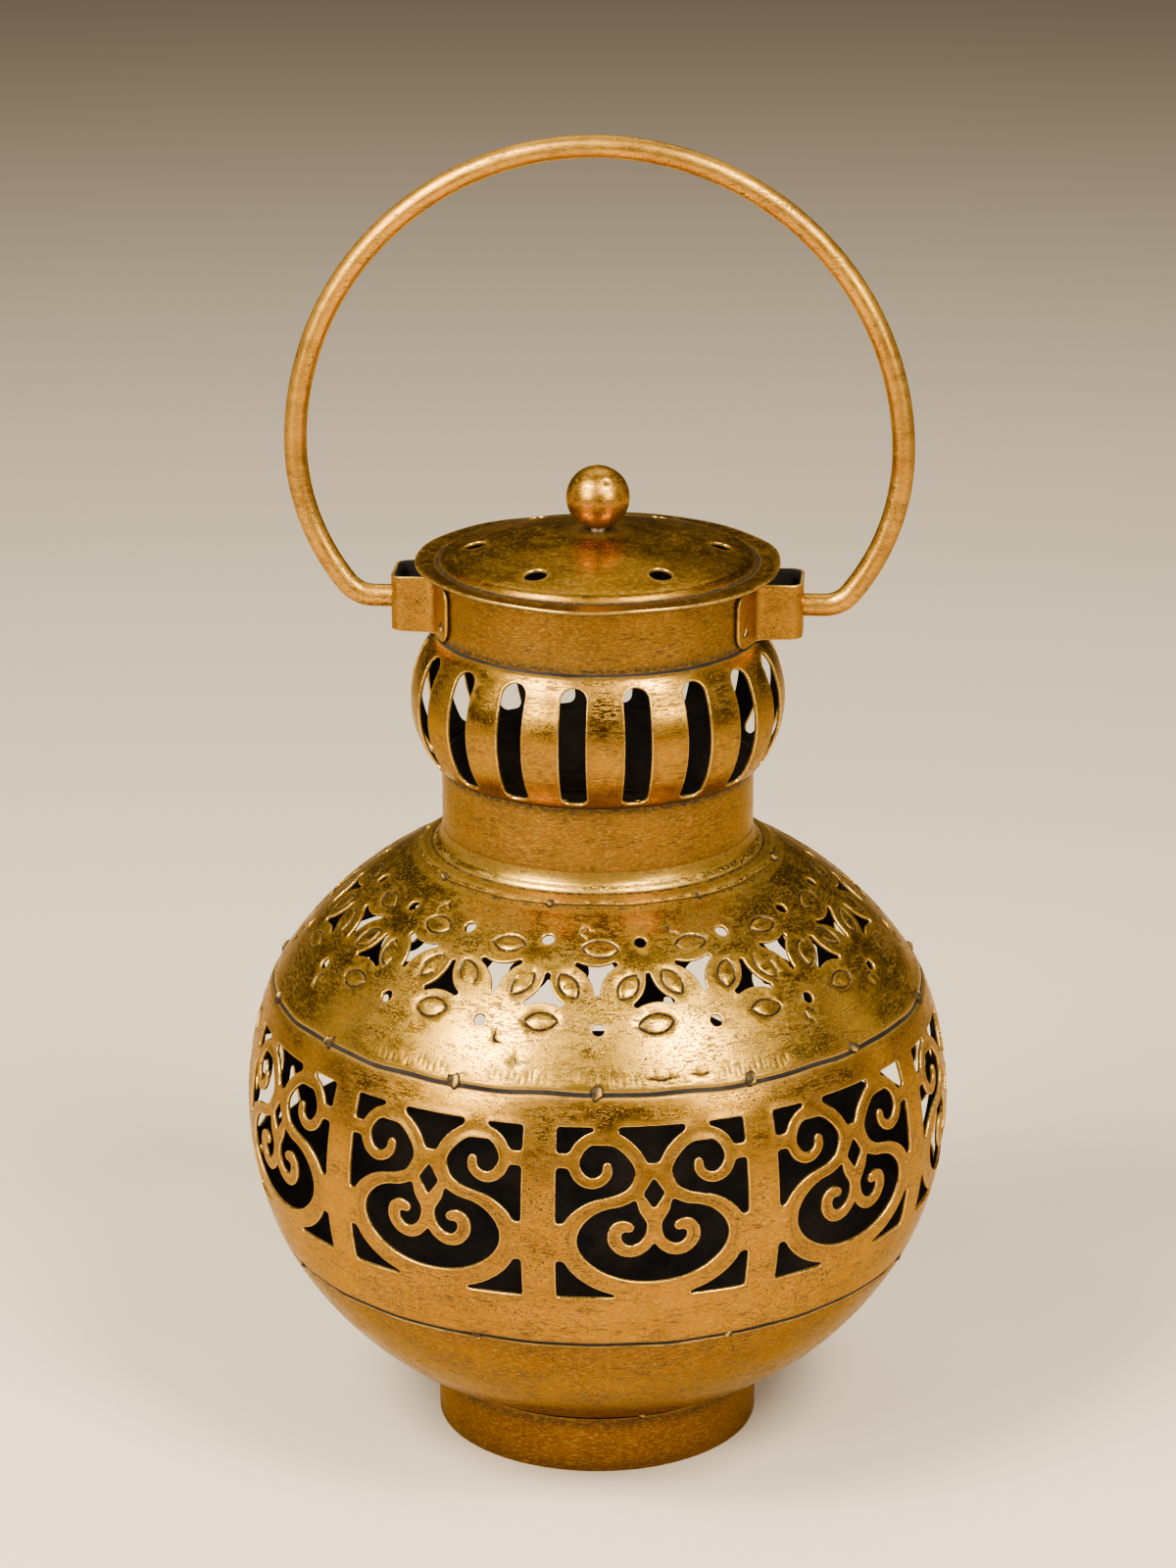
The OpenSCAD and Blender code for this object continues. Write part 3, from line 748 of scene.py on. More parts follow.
STAR = (10.9, 9.8)
DOWN_STAR_T, UP_STAR_T = 0.7, -2.2
UPPER_DOT_T, LOWER_DOT_T, DOT_R = 12.4, -13.0, 1.65
LEAF_TOP_T, LEAF_LOW_T, LEAF_SIDE_T = 10.6, -11.8, -0.8
LEAF_SIDE_AT, LEAF_SIDE_TILT = 4.95, 61.0
# Share of the leaves that are whole; where mesh points fill a gap of the pattern
WHOLE_SHARE, SPREAD_T = 0.6, 15.2
FLANGE_LAP, SHOULDER_SEED = 1.2, 11


def flange_edge_shadow(flat):
    """Painted shadow on the shoulder along the flange's free edge."""
    r, _ = SHOULDER.at(flat[:, 1])
    return hill(r - FLANGE_R - FLANGE_LAP + 0.3, 0.75)


def hammer_marks(rng):
    """Marks of closing the seam: azimuth, place along the section, length, strength."""
    marks = [(16.5, -26.6, 9.0, 0.9), (23.5, -26.2, 6.5, 0.7), (19.0, -28.2, 7.0, 0.5),
             (-9.0, -22.6, 3.0, 0.7), (150.0, -26.9, 8.0, 0.7), (-120.0, -27.2, 6.0, 0.6)]
    for middle, reach in ((-30, 9), (-8, 5), (12, 10), (33, 8), (95, 12), (170, 12), (-100, 12)):
        azimuth = middle - reach
        while azimuth < middle + reach:
            marks.append((azimuth, rng.uniform(-27.6, -25.6), rng.uniform(1.8, 3.0),
                          rng.uniform(0.12, 0.34)))
            azimuth += rng.uniform(0.7, 1.3)
    return marks


def stamp_depth(distance, strength):
    """How deep a stamped groove is at this distance from its line, with a swell beside it, and how dirty."""
    groove = strength * hill(distance, 0.26)
    swell = strength * hill(distance - 0.75, 0.3)
    return 0.40 * groove - 0.06 * swell, 1.5 * strength * hill(distance, 0.36)


class Pattern:
    """What is cut and stamped into the shoulder, with points for the mesh along the stamped lines."""

    def __init__(self, rng):
        self.rng = rng
        self.holes, self.lines, self.line_points = [], [], []

    def jitter(self, size):
        return self.rng.uniform(-size, size)

    def cut(self, outline, azimuth, t):
        self.holes.append(rings_of(outline, warp=SHOULDER_RING.warp_at(azimuth, t)))

    def press(self, line, strength, followed, azimuth, t):
        warp = SHOULDER_RING.warp_at(azimuth, t)
        self.lines.append((warp(line), strength))
        self.line_points.append(warp(followed))

    def stamp(self, outline, azimuth, t, whole):
        """Presses an outline, which fades out somewhere unless it is whole."""
        place_on = np.arange(len(outline)) / len(outline) * 2 * math.pi
        gap = self.rng.uniform(0, 2 * math.pi)
        strength = np.full(len(outline), 1.0)
        if not whole:
            strength = np.clip(1.5 - 2.0 * hill(np.cos(place_on - gap) - 1, 0.35), 0.0, 1.0)
        self.press(outline, strength, beside(outline[::2], (0.0, 0.27, -0.27, 0.6, -0.6)), azimuth, t)

    def hammer(self, azimuth, t, length, strength):
        """A mark of the hammer: long ones lie, short ones stand."""
        upright = length < 3.5
        count = 6 if upright else 24
        run = np.linspace(-length / 2, length / 2, count)
        across = np.zeros(count) if upright else 0.25 * np.sin(np.arange(count) * 0.4)
        line = np.stack([across, run] if upright else [run, across], axis=1)
        fade = np.sin(np.linspace(0.15, math.pi - 0.15, count)) ** 0.5
        self.press(line, strength * fade, beside(line, (0.0, 0.3, -0.3)), azimuth, t)

    def star(self, tilt, azimuth, t, t_jitter):
        size = (STAR[0] + self.jitter(0.7), STAR[1] + self.jitter(0.6))
        self.cut(turned(star_line(*size), tilt + self.jitter(5)), azimuth + self.jitter(0.3),
                 t + self.jitter(t_jitter))

    def leaf(self, outline, tilt, azimuth, azimuth_jitter, t, t_jitter):
        self.stamp(turned(outline, tilt + self.jitter(8)), azimuth + self.jitter(azimuth_jitter),
                   t + self.jitter(t_jitter), self.rng.random() < WHOLE_SHARE)

    def flower(self, down_at, up_at):
        """A star on its tip, an upright star, their dots and leaves, and a stray nick."""
        self.star(0, down_at, DOWN_STAR_T, 0.6)
        self.star(180, up_at, UP_STAR_T, 0.5)
        self.cut(circle_line(DOT_R, 18), up_at - 0.8 + self.jitter(0.7), UPPER_DOT_T + self.jitter(0.6))
        self.cut(circle_line(DOT_R, 18), down_at + self.jitter(0.6), LOWER_DOT_T + self.jitter(0.6))
        outline = leaf_line(9.0 + self.jitter(0.5), 4.9 + self.jitter(0.4))
        self.leaf(outline, 0, down_at + 0.6, 0.5, LEAF_TOP_T, 0.7)
        self.leaf(outline, 0, up_at, 0.6, LEAF_LOW_T, 0.5)
        for side, tilt in ((-1, LEAF_SIDE_TILT), (1, 180 - LEAF_SIDE_TILT)):
            petal = leaf_line(8.2, 4.6 + self.jitter(0.3))
            self.leaf(petal, tilt, up_at + side * LEAF_SIDE_AT, 0.3, LEAF_SIDE_T, 0.7)
        spread = hex_grid(-10, 10, -2.2, 1.4, 1.1)
        self.line_points.append(SHOULDER_RING.warp_at(down_at, SPREAD_T)(spread))
        nick = arc_line((0, 0), 1.7, self.rng.uniform(0, 3), self.rng.uniform(4, 5), 9)
        self.stamp(nick, down_at + self.jitter(6), self.rng.choice((14.5, -16.5)) + self.jitter(1.5), True)


def build_flower_shoulder(materials):
    rng = random.Random(SHOULDER_SEED)
    pattern = Pattern(rng)
    spacing = 360 / FLOWER_COUNT
    for k in range(FLOWER_COUNT):
        down_at = -180 + spacing / 4 + k * spacing
        pattern.flower(down_at, down_at + spacing / 2)
    for mark in hammer_marks(rng):
        pattern.hammer(*mark)
    stamps = Stamps(pattern.lines, np.vstack(pattern.line_points), stamp_depth, flange_edge_shadow)
    skin = SHOULDER_RING.all_round(SHOULDER_RING.cell(pattern.holes, 2.7, 0.2, stamps))
    make_piece("flower_shoulder_shell", skin, materials, "lantern", ["flower_shoulder"])


# ---- Slotted bulge ----

SLOT_WIDTH, SLOT_LOW_Z, SLOT_HIGH_Z, SLOT_FOOT_R, SLOT_TAPER = 7.1, 189.9, 221.5, 2.4, 0.06
# How far the seam filler lies from the bulge's ends
FILLER_IN = 0.2


def build_slotted_bulge(materials):
    slot = slot_line(SLOT_WIDTH, BULGE.length_at(SLOT_LOW_Z), BULGE.length_at(SLOT_HIGH_Z), SLOT_FOOT_R)
    slot[:, 0] *= 1 - SLOT_TAPER * (slot[:, 1] / BULGE.high) ** 2
    holes = [rings_of(slot, warp=BULGE_RING.warp_at(0.0, 0.0))]
    skin = BULGE_RING.all_round(BULGE_RING.cell(holes, 2.0, 0.6))
    for t, joint_z in ((BULGE.low + FILLER_IN, BULGE_Z), (BULGE.high - FILLER_IN, BULGE_TOP_Z)):
        seam_filler(skin, BULGE, t, joint_z, 0.8, NECK_WAVES)
    make_piece("slotted_bulge_shell", skin, materials, "lantern", ["slotted_bulge"])


# ---- Turned shells ----

# How far grime and painted shade spread from a joint, how far the neck's tubes tuck into the bulge, and the
# foot's wall
GRIMY, TUCK, FOOT_WALL = 1.5, 1.0, 1.2
CUP_WALL, CUP_BORE_R = 0.8, 1.9


def tube_outline(r_out, r_in, z0, z1, bevel, low_grime_and_shade, high_grime_and_shade, rows=14):
    """Closed outline of a plain tube with rounded ends, darker near its ends rather than worn: grime, and on
    the foot painted shade.
    """
    nip, run = 0.25 * bevel, z1 - z0 - 2 * bevel
    outline = [(r_out - bevel, z0, 0.3, 0.7, 0), (r_out - nip, z0 + nip, 0.3, 0.7, 0)]
    for u in np.linspace(0, 1, rows):
        z = z0 + bevel + run * u
        near_low = low_grime_and_shade * math.exp(-abs(z - z0 - GRIMY) / GRIMY)
        near_high = high_grime_and_shade * math.exp(-abs(z1 - GRIMY - z) / GRIMY)
        outline.append((r_out, z, 0.0, max(near_low, near_high), 0))
    outline += [(r_out - nip, z1 - nip, 0.3, 0.7, 1), (r_out - bevel, z1, 0.0, 1.0, 1),
                (r_in + bevel, z1, 0.0, 1.0, 1)]
    outline += [(r_in, z0 + bevel + run * u, 0.0, 0.7, 1) for u in np.linspace(1, 0, rows // 2 + 2)]
    return outline + [(r_in + bevel, z0, 0.2, 0.6, 0)]


def build_collars(materials):
    for name, node, r, z0, z1, low_grime_and_shade, high_grime_and_shade in (
            ("neck_collar_tube", "neck_collar", NECK_R, NECK_Z, BULGE_Z + TUCK, 0.3, 0.8),
            ("top_collar_tube", "top_collar", COLLAR_R, BULGE_TOP_Z - TUCK, LID_Z, 0.8, 0.3)):
        skin = lathe(tube_outline(r, r - SHEET, z0, z1, 0.25, low_grime_and_shade, high_grime_and_shade), 160, NECK_WAVES)
        make_piece(name, skin, materials, "lantern", [node])


def build_foot(materials):
    # The foot's top, under the overhang of the bowl, is darkened as painted shade.
    outline = tube_outline(FOOT_R, FOOT_R - FOOT_WALL, 0.0, FOOT_TOP_Z - 0.3, 0.35, 0.4, 0.7, 18)
    make_piece("foot_ring_strip", lathe(outline, 160, 0.3), materials, "lantern", ["foot_ring"])


def bowl_outline():
    floor_t = BOWL.length_at(FLOOR_Z)
    outline = [(r, FLOOR_Z, 0.0, 0.4, 0) for r in (0.0, 4.5, 12.0, 20.0, 26.0)]
    for t in np.linspace(floor_t, -SEAM_GAP - 2.0, 42):
        r, z = BOWL.at(t, RIM[0][1])
        # Painted shade on the bowl just above the top of the foot, where the two meet.
        shade_at_foot = math.exp(-((z - FOOT_TOP_Z - 0.5) / 1.6) ** 2)
        outline.append((r, max(z, FLOOR_Z), 0.0, 0.9 * shade_at_foot, 0))
    for k, (offset, depth, edge, grime_and_shade) in enumerate(SEAM_RIM):
        outline.append((*BOWL.at(-SEAM_GAP - offset, depth), edge, grime_and_shade, k >= DARK_RIM_FROM))
    for t in np.linspace(-2.0, BOWL.length_at(FLOOR_Z + 2.2), 24):
        outline.append((*BOWL.at(t, SHEET), 0.0, 0.7, 1))
    floor_r = BOWL.at(floor_t)[0]
    return outline + [(r, FLOOR_Z + SHEET, 0.0, 0.7, 1) for r in (floor_r - 2.0, 15.0, 0.0)]


def build_bowl(materials):
    def sway(points, azimuth):
        points[:, 2] += seam_pull(azimuth, points[:, 2] - LOWER_SEAM_Z, LOWER_SEAM_Z)
        return points

    skin = lathe(bowl_outline(), 220, tweak=sway)
    make_piece("base_bowl_shell", skin, materials, "lantern", ["base_bowl"])


# The flange's profile: out from the shoulder's edge, up from it, edge wear, grime. The grime of its first
# rows, where the edge sits on the shoulder, is painted shadow under the edge.
FLANGE_EDGE = (
    (-0.25, 0.0, 0.0, 1.5), (-0.04, 0.30, 0.1, 1.2), (0.0, 0.62, 0.7, 0.0), (-0.35, 0.86, 0.4, 0.0),
)
FLANGE_TOP = (
    (0.2, 0.75, 0.1, 0.3), (-0.9, 1.15, 0.0, 0.2), (-1.8, 1.45, 0.0, 0.3), (-2.6, 1.72, 0.0, 0.95),
    (-3.05, 1.95, 0.0, 0.6), (-3.4, 2.45, 0.3, 0.0), (-3.85, 2.95, 0.4, 0.0), (-4.35, 3.30, 0.2, 0.0),
    (-4.8, 3.85, 0.0, 0.2), (-5.1, 4.70, 0.0, 0.35), (-5.35, 5.60, 0.0, 0.45),
)
# Its underside: out from the neck, up
FLANGE_UNDER = ((-0.9, 4.6), (-0.3, 3.2), (0.5, 2.0), (1.6, 1.0), (3.0, 0.45), (4.4, 0.15))


def build_flange(materials):
    """Flared ring, rolled at the neck, that laps over the shoulder's upper edge.

    Its free edge is cut by hand.
    """
    out = FLANGE_R - NECK_R
    rise = NECK_Z - FLANGE_Z
    slope = (SHOULDER.at(SHOULDER.high)[1] - SHOULDER.at(SHOULDER.high - 2)[1]) / 2
    drop = FLANGE_LAP * slope
    upper = [(out + FLANGE_LAP + x, z - drop, edge, grime_and_shade) for x, z, edge, grime_and_shade in FLANGE_EDGE]
    upper += [(out + x, z, edge, grime_and_shade) for x, z, edge, grime_and_shade in FLANGE_TOP] + [(0.0, rise, 0.0, 0.5)]
    under = [(-SHEET, rise), *FLANGE_UNDER, (out, -0.1)]
    outline = [(NECK_R + x, FLANGE_Z + z, edge, grime_and_shade, 0) for x, z, edge, grime_and_shade in upper]
    outline += [(NECK_R + x, FLANGE_Z + z, 0.0, 0.8, 1) for x, z in under]

    def hand_cut(points, azimuth):
        r = radii(points)
        share = np.clip((r - NECK_R - 3.0) / (out + FLANGE_LAP - 3.0), 0, 1)
        a = np.radians(azimuth)
        reach = 0.20 * (1 + np.sin(5 * a + 1)) + 0.14 * (1 + np.sin(11 * a + 2)) + 0.10 * (1 + np.sin(17 * a))
        points[:, :2] *= (1 - share * reach / r)[:, None]
        points[:, 2] += share * (reach * slope / FLANGE_LAP + 0.04 * np.sin(7 * a + 2))
        return points

    skin = lathe(outline, 220, NECK_WAVES, hand_cut)
    make_piece("neck_flange_ring", skin, materials, "lantern", ["neck_flange"])


def build_cup(materials):
    r, z0, z1 = high("tealight_cup", 0), low("tealight_cup", 2), high("tealight_cup", 2)
    outline = [(CUP_BORE_R, z0, 0, 0.4, 0), (r - 1.0, z0, 0, 0.5, 0), (r - 0.3, z0 + 0.3, 0.2, 0.5, 0)]
    outline += [(r - 0.08 * math.sin(u * 9), z0 + 0.9 + (z1 - z0 - 1.5) * u, 0.1, 0.2, 0)
                for u in np.linspace(0, 1, 10)]
    r_in, floor_z = r - CUP_WALL, z0 + CUP_WALL
    outline += [(r, z1 - 0.25, 0.7, 0, 0), (r - 0.15, z1 - 0.04, 1.0, 0, 0),
                (r - CUP_WALL / 2, z1, 1.0, 0, 0), (r_in + 0.12, z1 - 0.05, 0.8, 0, 0),
                (r_in, z1 - 0.3, 0.4, 0, 0)]
    outline += [(r_in, z1 - 0.6 - (z1 - z0 - 2.4) * u, 0.0, 0.3, 0) for u in np.linspace(0, 1, 6)]
    outline += [(r_in - 0.6, floor_z + 0.2, 0, 0.6, 0), (r_in - 1.6, floor_z, 0, 0.5, 0),
                (CUP_BORE_R, floor_z, 0, 0.3, 0)]
    skin = lathe(outline, 120, 0.0)
    make_piece("tealight_cup_spun", skin, materials, "lantern", ["tealight_cup"])


# ---- Lid ----

DOME_R, DOME_STEP, CREASE_OUT, LID_BORE_R = 41.3, 1.4, 0.75, 2.4


def lid_top(r):
    """Height of the lid's outside at radius r: flat rim, a creased step, then a shallow dome."""
    rim_z = LID_Z + SHEET
    rise = APEX_Z - rim_z - DOME_STEP
    arc_r = (DOME_R ** 2 + rise ** 2) / (2 * rise)
    dome = APEX_Z - arc_r + np.sqrt(np.maximum(arc_r ** 2 - np.minimum(r, DOME_R) ** 2, 0))
    step = 1 / (1 + np.exp((r - DOME_R + 0.35) / 0.28))
    crease = 0.28 * hill(r - DOME_R - CREASE_OUT, 0.45)
    return rim_z * (1 - step) + dome * step - crease


def lid_wave(flat):
    """Beaten unevenness of the lid: its rim waves up and down, its dome is a little lumpy."""
    r = radii(flat)
    a = np.arctan2(flat[:, 1], flat[:, 0])
    rim = np.clip((r - COLLAR_R - 1.0) / 5.0, 0, 1)
    dome = np.clip((DOME_R - 2 - r) / 6.0, 0, 1) * np.clip((r - 9) / 8.0, 0, 1)
    lumps = np.sin(3 * a + 0.7) + 0.7 * np.sin(5 * a + r * 0.2) + 0.5 * np.sin(7 * a - r * 0.15 + 2)
    edge = 0.34 * np.sin(2 * a + 0.6) + 0.2 * np.sin(5 * a + 1.1) + 0.1 * np.sin(9 * a)
    return rim * edge - dome * 0.12 * (lumps + 2.2)


def lid_grime_and_knob_shade(flat):
    r = radii(flat)
    # Grime in the crease at the step, and painted shadow round the middle, under the knob.
    return np.maximum(1.6 * hill(r - DOME_R - CREASE_OUT, 0.55), 0.75 * hill(r - 3.5, 3.5))


# Rings of mesh points on the lid, close together at its step
LID_COARSE = (*np.arange(4.5, 39.0, 1.8), 39.5, 44.0, 45.2, 46.4, 47.4)
LID_FINE = (40.0, 40.4, 40.7, 40.95, 41.2, 41.5, 41.8, 42.1, 42.5, 43.1)


def lid_outline():
    """Edge of the lid, clockwise from above and cut by hand."""
    a = -np.arange(220) * 2 * math.pi / 220
    uneven = 0.22 * (1 + np.sin(2 * a + 1))
    reach = LID_R - 0.05 - uneven - 0.10 * (1 + np.sin(7 * a + 2)) - 0.05 * (1 + np.sin(13 * a))
    return pair(reach * np.cos(a), reach * np.sin(a))


def build_lid(materials):
    holes = [rings_of(circle_line(LID_BORE_R, 24))]
    for k in range(VENT_COUNT):
        turn = math.radians(VENT_TURN + 360 / VENT_COUNT * k)
        at = np.array([VENT_AT_R * math.sin(turn), -VENT_AT_R * math.cos(turn)])
        holes.append(rings_of(circle_line(VENT_R, 26) + at))
    sheet = Sheet([rings_of(lid_outline())], [], holes, True)
    fill = np.vstack([circle_line(r, max(16, int(2 * math.pi * r / 1.9))) for r in LID_COARSE]
                     + [turned(circle_line(r, 240), 0.75 * (k % 2)) for k, r in enumerate(LID_FINE)])
    sheet.cover(sheet.outside, fill, RIM[0][1], 0.28, False,
                lambda flat: (np.zeros(len(flat)), lid_grime_and_knob_shade(flat)))
    sheet.cover(sheet.inside, fill[::2], RIM[-1][1], 0.5, True)
    skin = Skin()

    def place(flat, depth):
        z = lid_top(radii(flat)) - depth * SHEET + lid_wave(flat)
        return np.column_stack([flat, np.minimum(z, APEX_Z)])

    sheet.copy_to(skin, place)
    make_piece("lid_cover_sheet", skin, materials, "lid", ["lid_cover"])


def build_knob(materials):
    centre_z = (KNOB_TOP_Z + APEX_Z) / 2 + 0.2
    radius = KNOB_TOP_Z - centre_z
    dent = Vector((0.30, -0.62, 0.60)).normalized()
    segments, rows = 96, 60
    skin = Skin()
    ids = []
    for k in range(rows + 1):
        tilt = -math.pi / 2 + math.pi * k / rows
        ring = []
        dirt = []
        for s in range(segments):
            turn = 2 * math.pi * s / segments
            n = Vector((math.cos(turn) * math.cos(tilt), math.sin(turn) * math.cos(tilt), math.sin(tilt)))
            hollow = math.exp(-((n - dent).length * radius / 0.75) ** 2)
            dirt.append(0.9 * hollow)
            r = radius - 0.45 * hollow - 0.05 * (1 + noise.noise(n * 2.2))
            ring.append((n.x * r, n.y * r, max(centre_z + n.z * r, APEX_Z + 0.02)))
        # Painted shade on the ball's foot, where it sits on the lid.
        shade_at_foot = math.exp(-((centre_z + radius * math.sin(tilt) - APEX_Z) / 1.5) ** 2)
        ids.append(skin.add(ring, 0.0, np.maximum(dirt, 0.8 * shade_at_foot)))
    for k in range(rows):
        skin.strip(ids[k], ids[k + 1], True)
    make_piece("knob_ball_turned", skin, materials, "lid", ["knob_ball"])


# ---- Lugs ----

LUG_REACH = high("lug_right", 0)
LUG_WIDTH, LUG_CORNER_R, LUG_BLEND_R, LUG_FLANGE_A, LUG_END_R = 17.0, 3.5, 3.0, 27.8, 3.6
LUG_LOW, LUG_HIGH = low("lug_right", 2), high("lug_right", 2)
LUG_HOLE_R = 3.12


def lug_path():
    """Outer face of the right lug's strap in plan, from one flange end to the other, anticlockwise."""
    half, r = LUG_WIDTH / 2, COLLAR_R + SHEET
    cy = half + LUG_BLEND_R
    cx = math.sqrt((r + LUG_BLEND_R) ** 2 - cy ** 2)
    blend_a = math.atan2(cy, cx)
    corner_x = LUG_REACH - LUG_CORNER_R
    corner_y = half - LUG_CORNER_R
    flange = arc_line((0, 0), r, -math.radians(LUG_FLANGE_A), -blend_a, 10)
    blend = arc_line((cx, -cy), LUG_BLEND_R, math.pi - blend_a, math.pi / 2, 8)
    corner = arc_line((corner_x, -corner_y), LUG_CORNER_R, -math.pi / 2, 0, 9)
    face = np.array([[LUG_REACH, -corner_y + 1.6], [LUG_REACH, 0.0]])
    first = np.vstack([flange, blend[1:], [[(cx + corner_x) / 2, -half]], corner, face])
    return np.vstack([first, first[-2::-1] * (1, -1)])


def build_lug(name, node, turn, materials):
    path = lug_path()
    along = np.concatenate([[0], np.cumsum(np.linalg.norm(np.diff(path, axis=0), axis=1))])
    half = along[-1] / 2
    tangent = np.gradient(path, along, axis=0)
    normal = pair(tangent[:, 1], -tangent[:, 0])
    normal /= np.linalg.norm(normal, axis=1)[:, None]
    r = LUG_END_R
    corners = [((half - r, LUG_LOW + r), -math.pi / 2), ((half - r, LUG_HIGH - r), 0),
               ((r - half, LUG_HIGH - r), math.pi / 2), ((r - half, LUG_LOW + r), math.pi)]
    outline = np.vstack([arc_line(c, r, a, a + math.pi / 2, 8) for c, a in corners])
    outline = evenly(outline, 0.9, 0)[::-1]
    holes = [rings_of(circle_line(LUG_HOLE_R, 28) + (0, PIVOT_Z))]
    sheet = Sheet([rings_of(outline)], [], holes, True)
    fill = hex_grid(-half + 1, half - 0.6, LUG_LOW + 1, LUG_HIGH - 0.8, 0.95)
    sheet.cover(sheet.outside, fill, RIM[0][1], 0.5, False)
    sheet.cover(sheet.inside, fill, RIM[-1][1], 0.5, True)

    def place(flat, depth):
        at = flat[:, 0] + half
        xy = np.stack([np.interp(at, along, path[:, c]) for c in (0, 1)], axis=1)
        out = np.stack([np.interp(at, along, normal[:, c]) for c in (0, 1)], axis=1)
        xy = xy - out / np.linalg.norm(out, axis=1)[:, None] * (depth * SHEET)[:, None]
        bow = 0.12 * np.sin(flat[:, 0] * 0.21 + turn) * (flat[:, 1] - PIVOT_Z) / 7
        return np.column_stack([turned(xy, turn), flat[:, 1] + bow])

    skin = Skin()
    sheet.copy_to(skin, place)
    make_piece(name, skin, materials, "lantern", [node])


# ---- Bail ----

ROD_R, ROD_BEVEL, ROD_SIDES = 3.0, 0.4, 28
SIDE_ARC_R, BEND_R, STUB_END_X = 60.0, 9.0, 48.0
# Shares of the rod's radius at its blunt ends
END_SHARES = (0.02, 0.82)


def bail_path():
    """Centre line of the rod in the XZ plane, from the left stub over the crown to the right stub."""
    crown_r = high("bail_handle", 0) - ROD_R
    crown_z = high("bail_handle", 2) - ROD_R - crown_r
    side_x = crown_r - SIDE_ARC_R
    bend_z = PIVOT_Z + BEND_R
    bend_x = side_x + math.sqrt((SIDE_ARC_R - BEND_R) ** 2 - (crown_z - bend_z) ** 2)
    bend_a = math.atan2(crown_z - bend_z, bend_x - side_x)
    stub = np.array([[STUB_END_X, PIVOT_Z], [51.0, PIVOT_Z], [54.0, PIVOT_Z], [(54.0 + bend_x) / 2, PIVOT_Z]])
    bend = arc_line((bend_x, bend_z), BEND_R, -math.pi / 2, -bend_a, 14)
    side = arc_line((side_x, crown_z), SIDE_ARC_R, -bend_a, 0, 26)[1:]
    crown = arc_line((0, crown_z), crown_r, 0, math.pi / 2, 62)[1:]
    return np.vstack([stub, bend, side, crown])


def build_bail(materials):
    right = bail_path()
    path = np.vstack([right * (-1, 1), right[-2::-1]])
    tangent = np.gradient(path, axis=0)
    tangent /= np.linalg.norm(tangent, axis=1)[:, None]
    body = path.copy()
    body[0] += tangent[0] * ROD_BEVEL
    body[-1] -= tangent[-1] * ROD_BEVEL
    stations = [(path[0], tangent[0], share) for share in END_SHARES]
    stations += [(p, t, 1.0) for p, t in zip(body, tangent)]
    stations += [(path[-1], tangent[-1], share) for share in END_SHARES[::-1]]
    a = np.arange(ROD_SIDES) * 2 * math.pi / ROD_SIDES
    facing_in = np.clip(np.cos(a), 0, 1)
    skin = Skin()
    rows = []
    for p, t, share in stations:
        unit = np.column_stack([-t[1] * np.cos(a), np.sin(a), t[0] * np.cos(a)])
        middle = np.array([p[0], 0.0, p[1]])
        radius = ROD_R * share - 0.035 * (1 + rough(middle + unit * ROD_R, 7.0, 3.0))
        worn = 0.35 if share < 1 else 0.0
        rows.append(skin.add(middle + unit * radius[:, None], worn, 0.28 * facing_in))
    close_tube(skin, rows)
    make_piece("bail_handle_rod", skin, materials, "bail", ["bail_handle"])


def close_tube(skin, rows):
    """Faces along a run of closed rows, and over both its ends."""
    for first, second in zip(rows, rows[1:]):
        skin.strip(first, second, True)
    skin.face(rows[0][::-1])
    skin.face(rows[-1])


# ---- Welds ----

FILLER_SEGMENTS, FILLER_SIDES, WELD_SEED = 300, 8, 5


def bead(skin, centre, out, radius, height, seed):
    """A small weld tack: a low dark lump, rough all over, with a painted glint on one side and a sunk foot.
    """
    out = Vector(out).normalized()
    side = out.orthogonal().normalized()
    up = out.cross(side)
    turns = 2 * math.pi * np.arange(16) / 16
    # One side of the tack is painted bright in the worn-gold colour, as a glint.
    glint_side = np.maximum(0.0, np.cos(turns - seed))
    rows = []
    for u in np.linspace(0, 1, 10):
        ring = []
        for turn in turns.tolist():
            lump = 1 + 0.7 * noise.noise(Vector((math.cos(turn) * 1.1, math.sin(turn) * 1.1, seed * 3.1)))
            reach = radius * lump * (1.3 * (1 - u ** 1.6) + 0.03)
            spot = side * (reach * math.cos(turn)) + up * (reach * math.sin(turn))
            unevenness = 0.45 * u * noise.noise(spot * 1.5 + out * seed)
            rise = height * math.sin(u * math.pi / 2) - 0.35 * (1 - u) + unevenness
            ring.append(centre + spot + out * rise)
        glint_row = max(0.0, 1 - abs(u - 0.6) * 4)
        rows.append(skin.add(np.array(ring), 0.9 * glint_side * glint_row, 1.2 - 0.7 * glint_side * u))
    close_tube(skin, rows)


def seam_filler(skin, arc, t, seam_z, half_height=1.05, waviness=1.0):
    """Dark run of weld metal that closes the groove at length t, within the sheet's thickness. It takes the
    sooty inside material, so its near black is partly painted shade in the groove.
    """
    azimuth = np.arange(FILLER_SEGMENTS) * 360.0 / FILLER_SEGMENTS
    sway = waviness * seam_sway(azimuth, seam_z)
    a = np.radians(azimuth)
    uneven = 0.08 * rough(np.stack([np.sin(a) * 9, np.cos(a) * 9, np.full(len(a), seam_z)], 1), 1.0, 2.0)
    rows = []
    for s in range(FILLER_SIDES):
        turn = 2 * math.pi * s / FILLER_SIDES
        depth = SHEET * (0.66 - 0.26 * math.cos(turn)) + uneven
        r, z = arc.at(t + sway + half_height * math.sin(turn), depth)
        rows.append(skin.add(round_axis(azimuth, r, z, waviness), 0.0, 1.0))
    for k in range(FILLER_SIDES):
        skin.strip(rows[k], rows[(k + 1) % FILLER_SIDES], True, True)


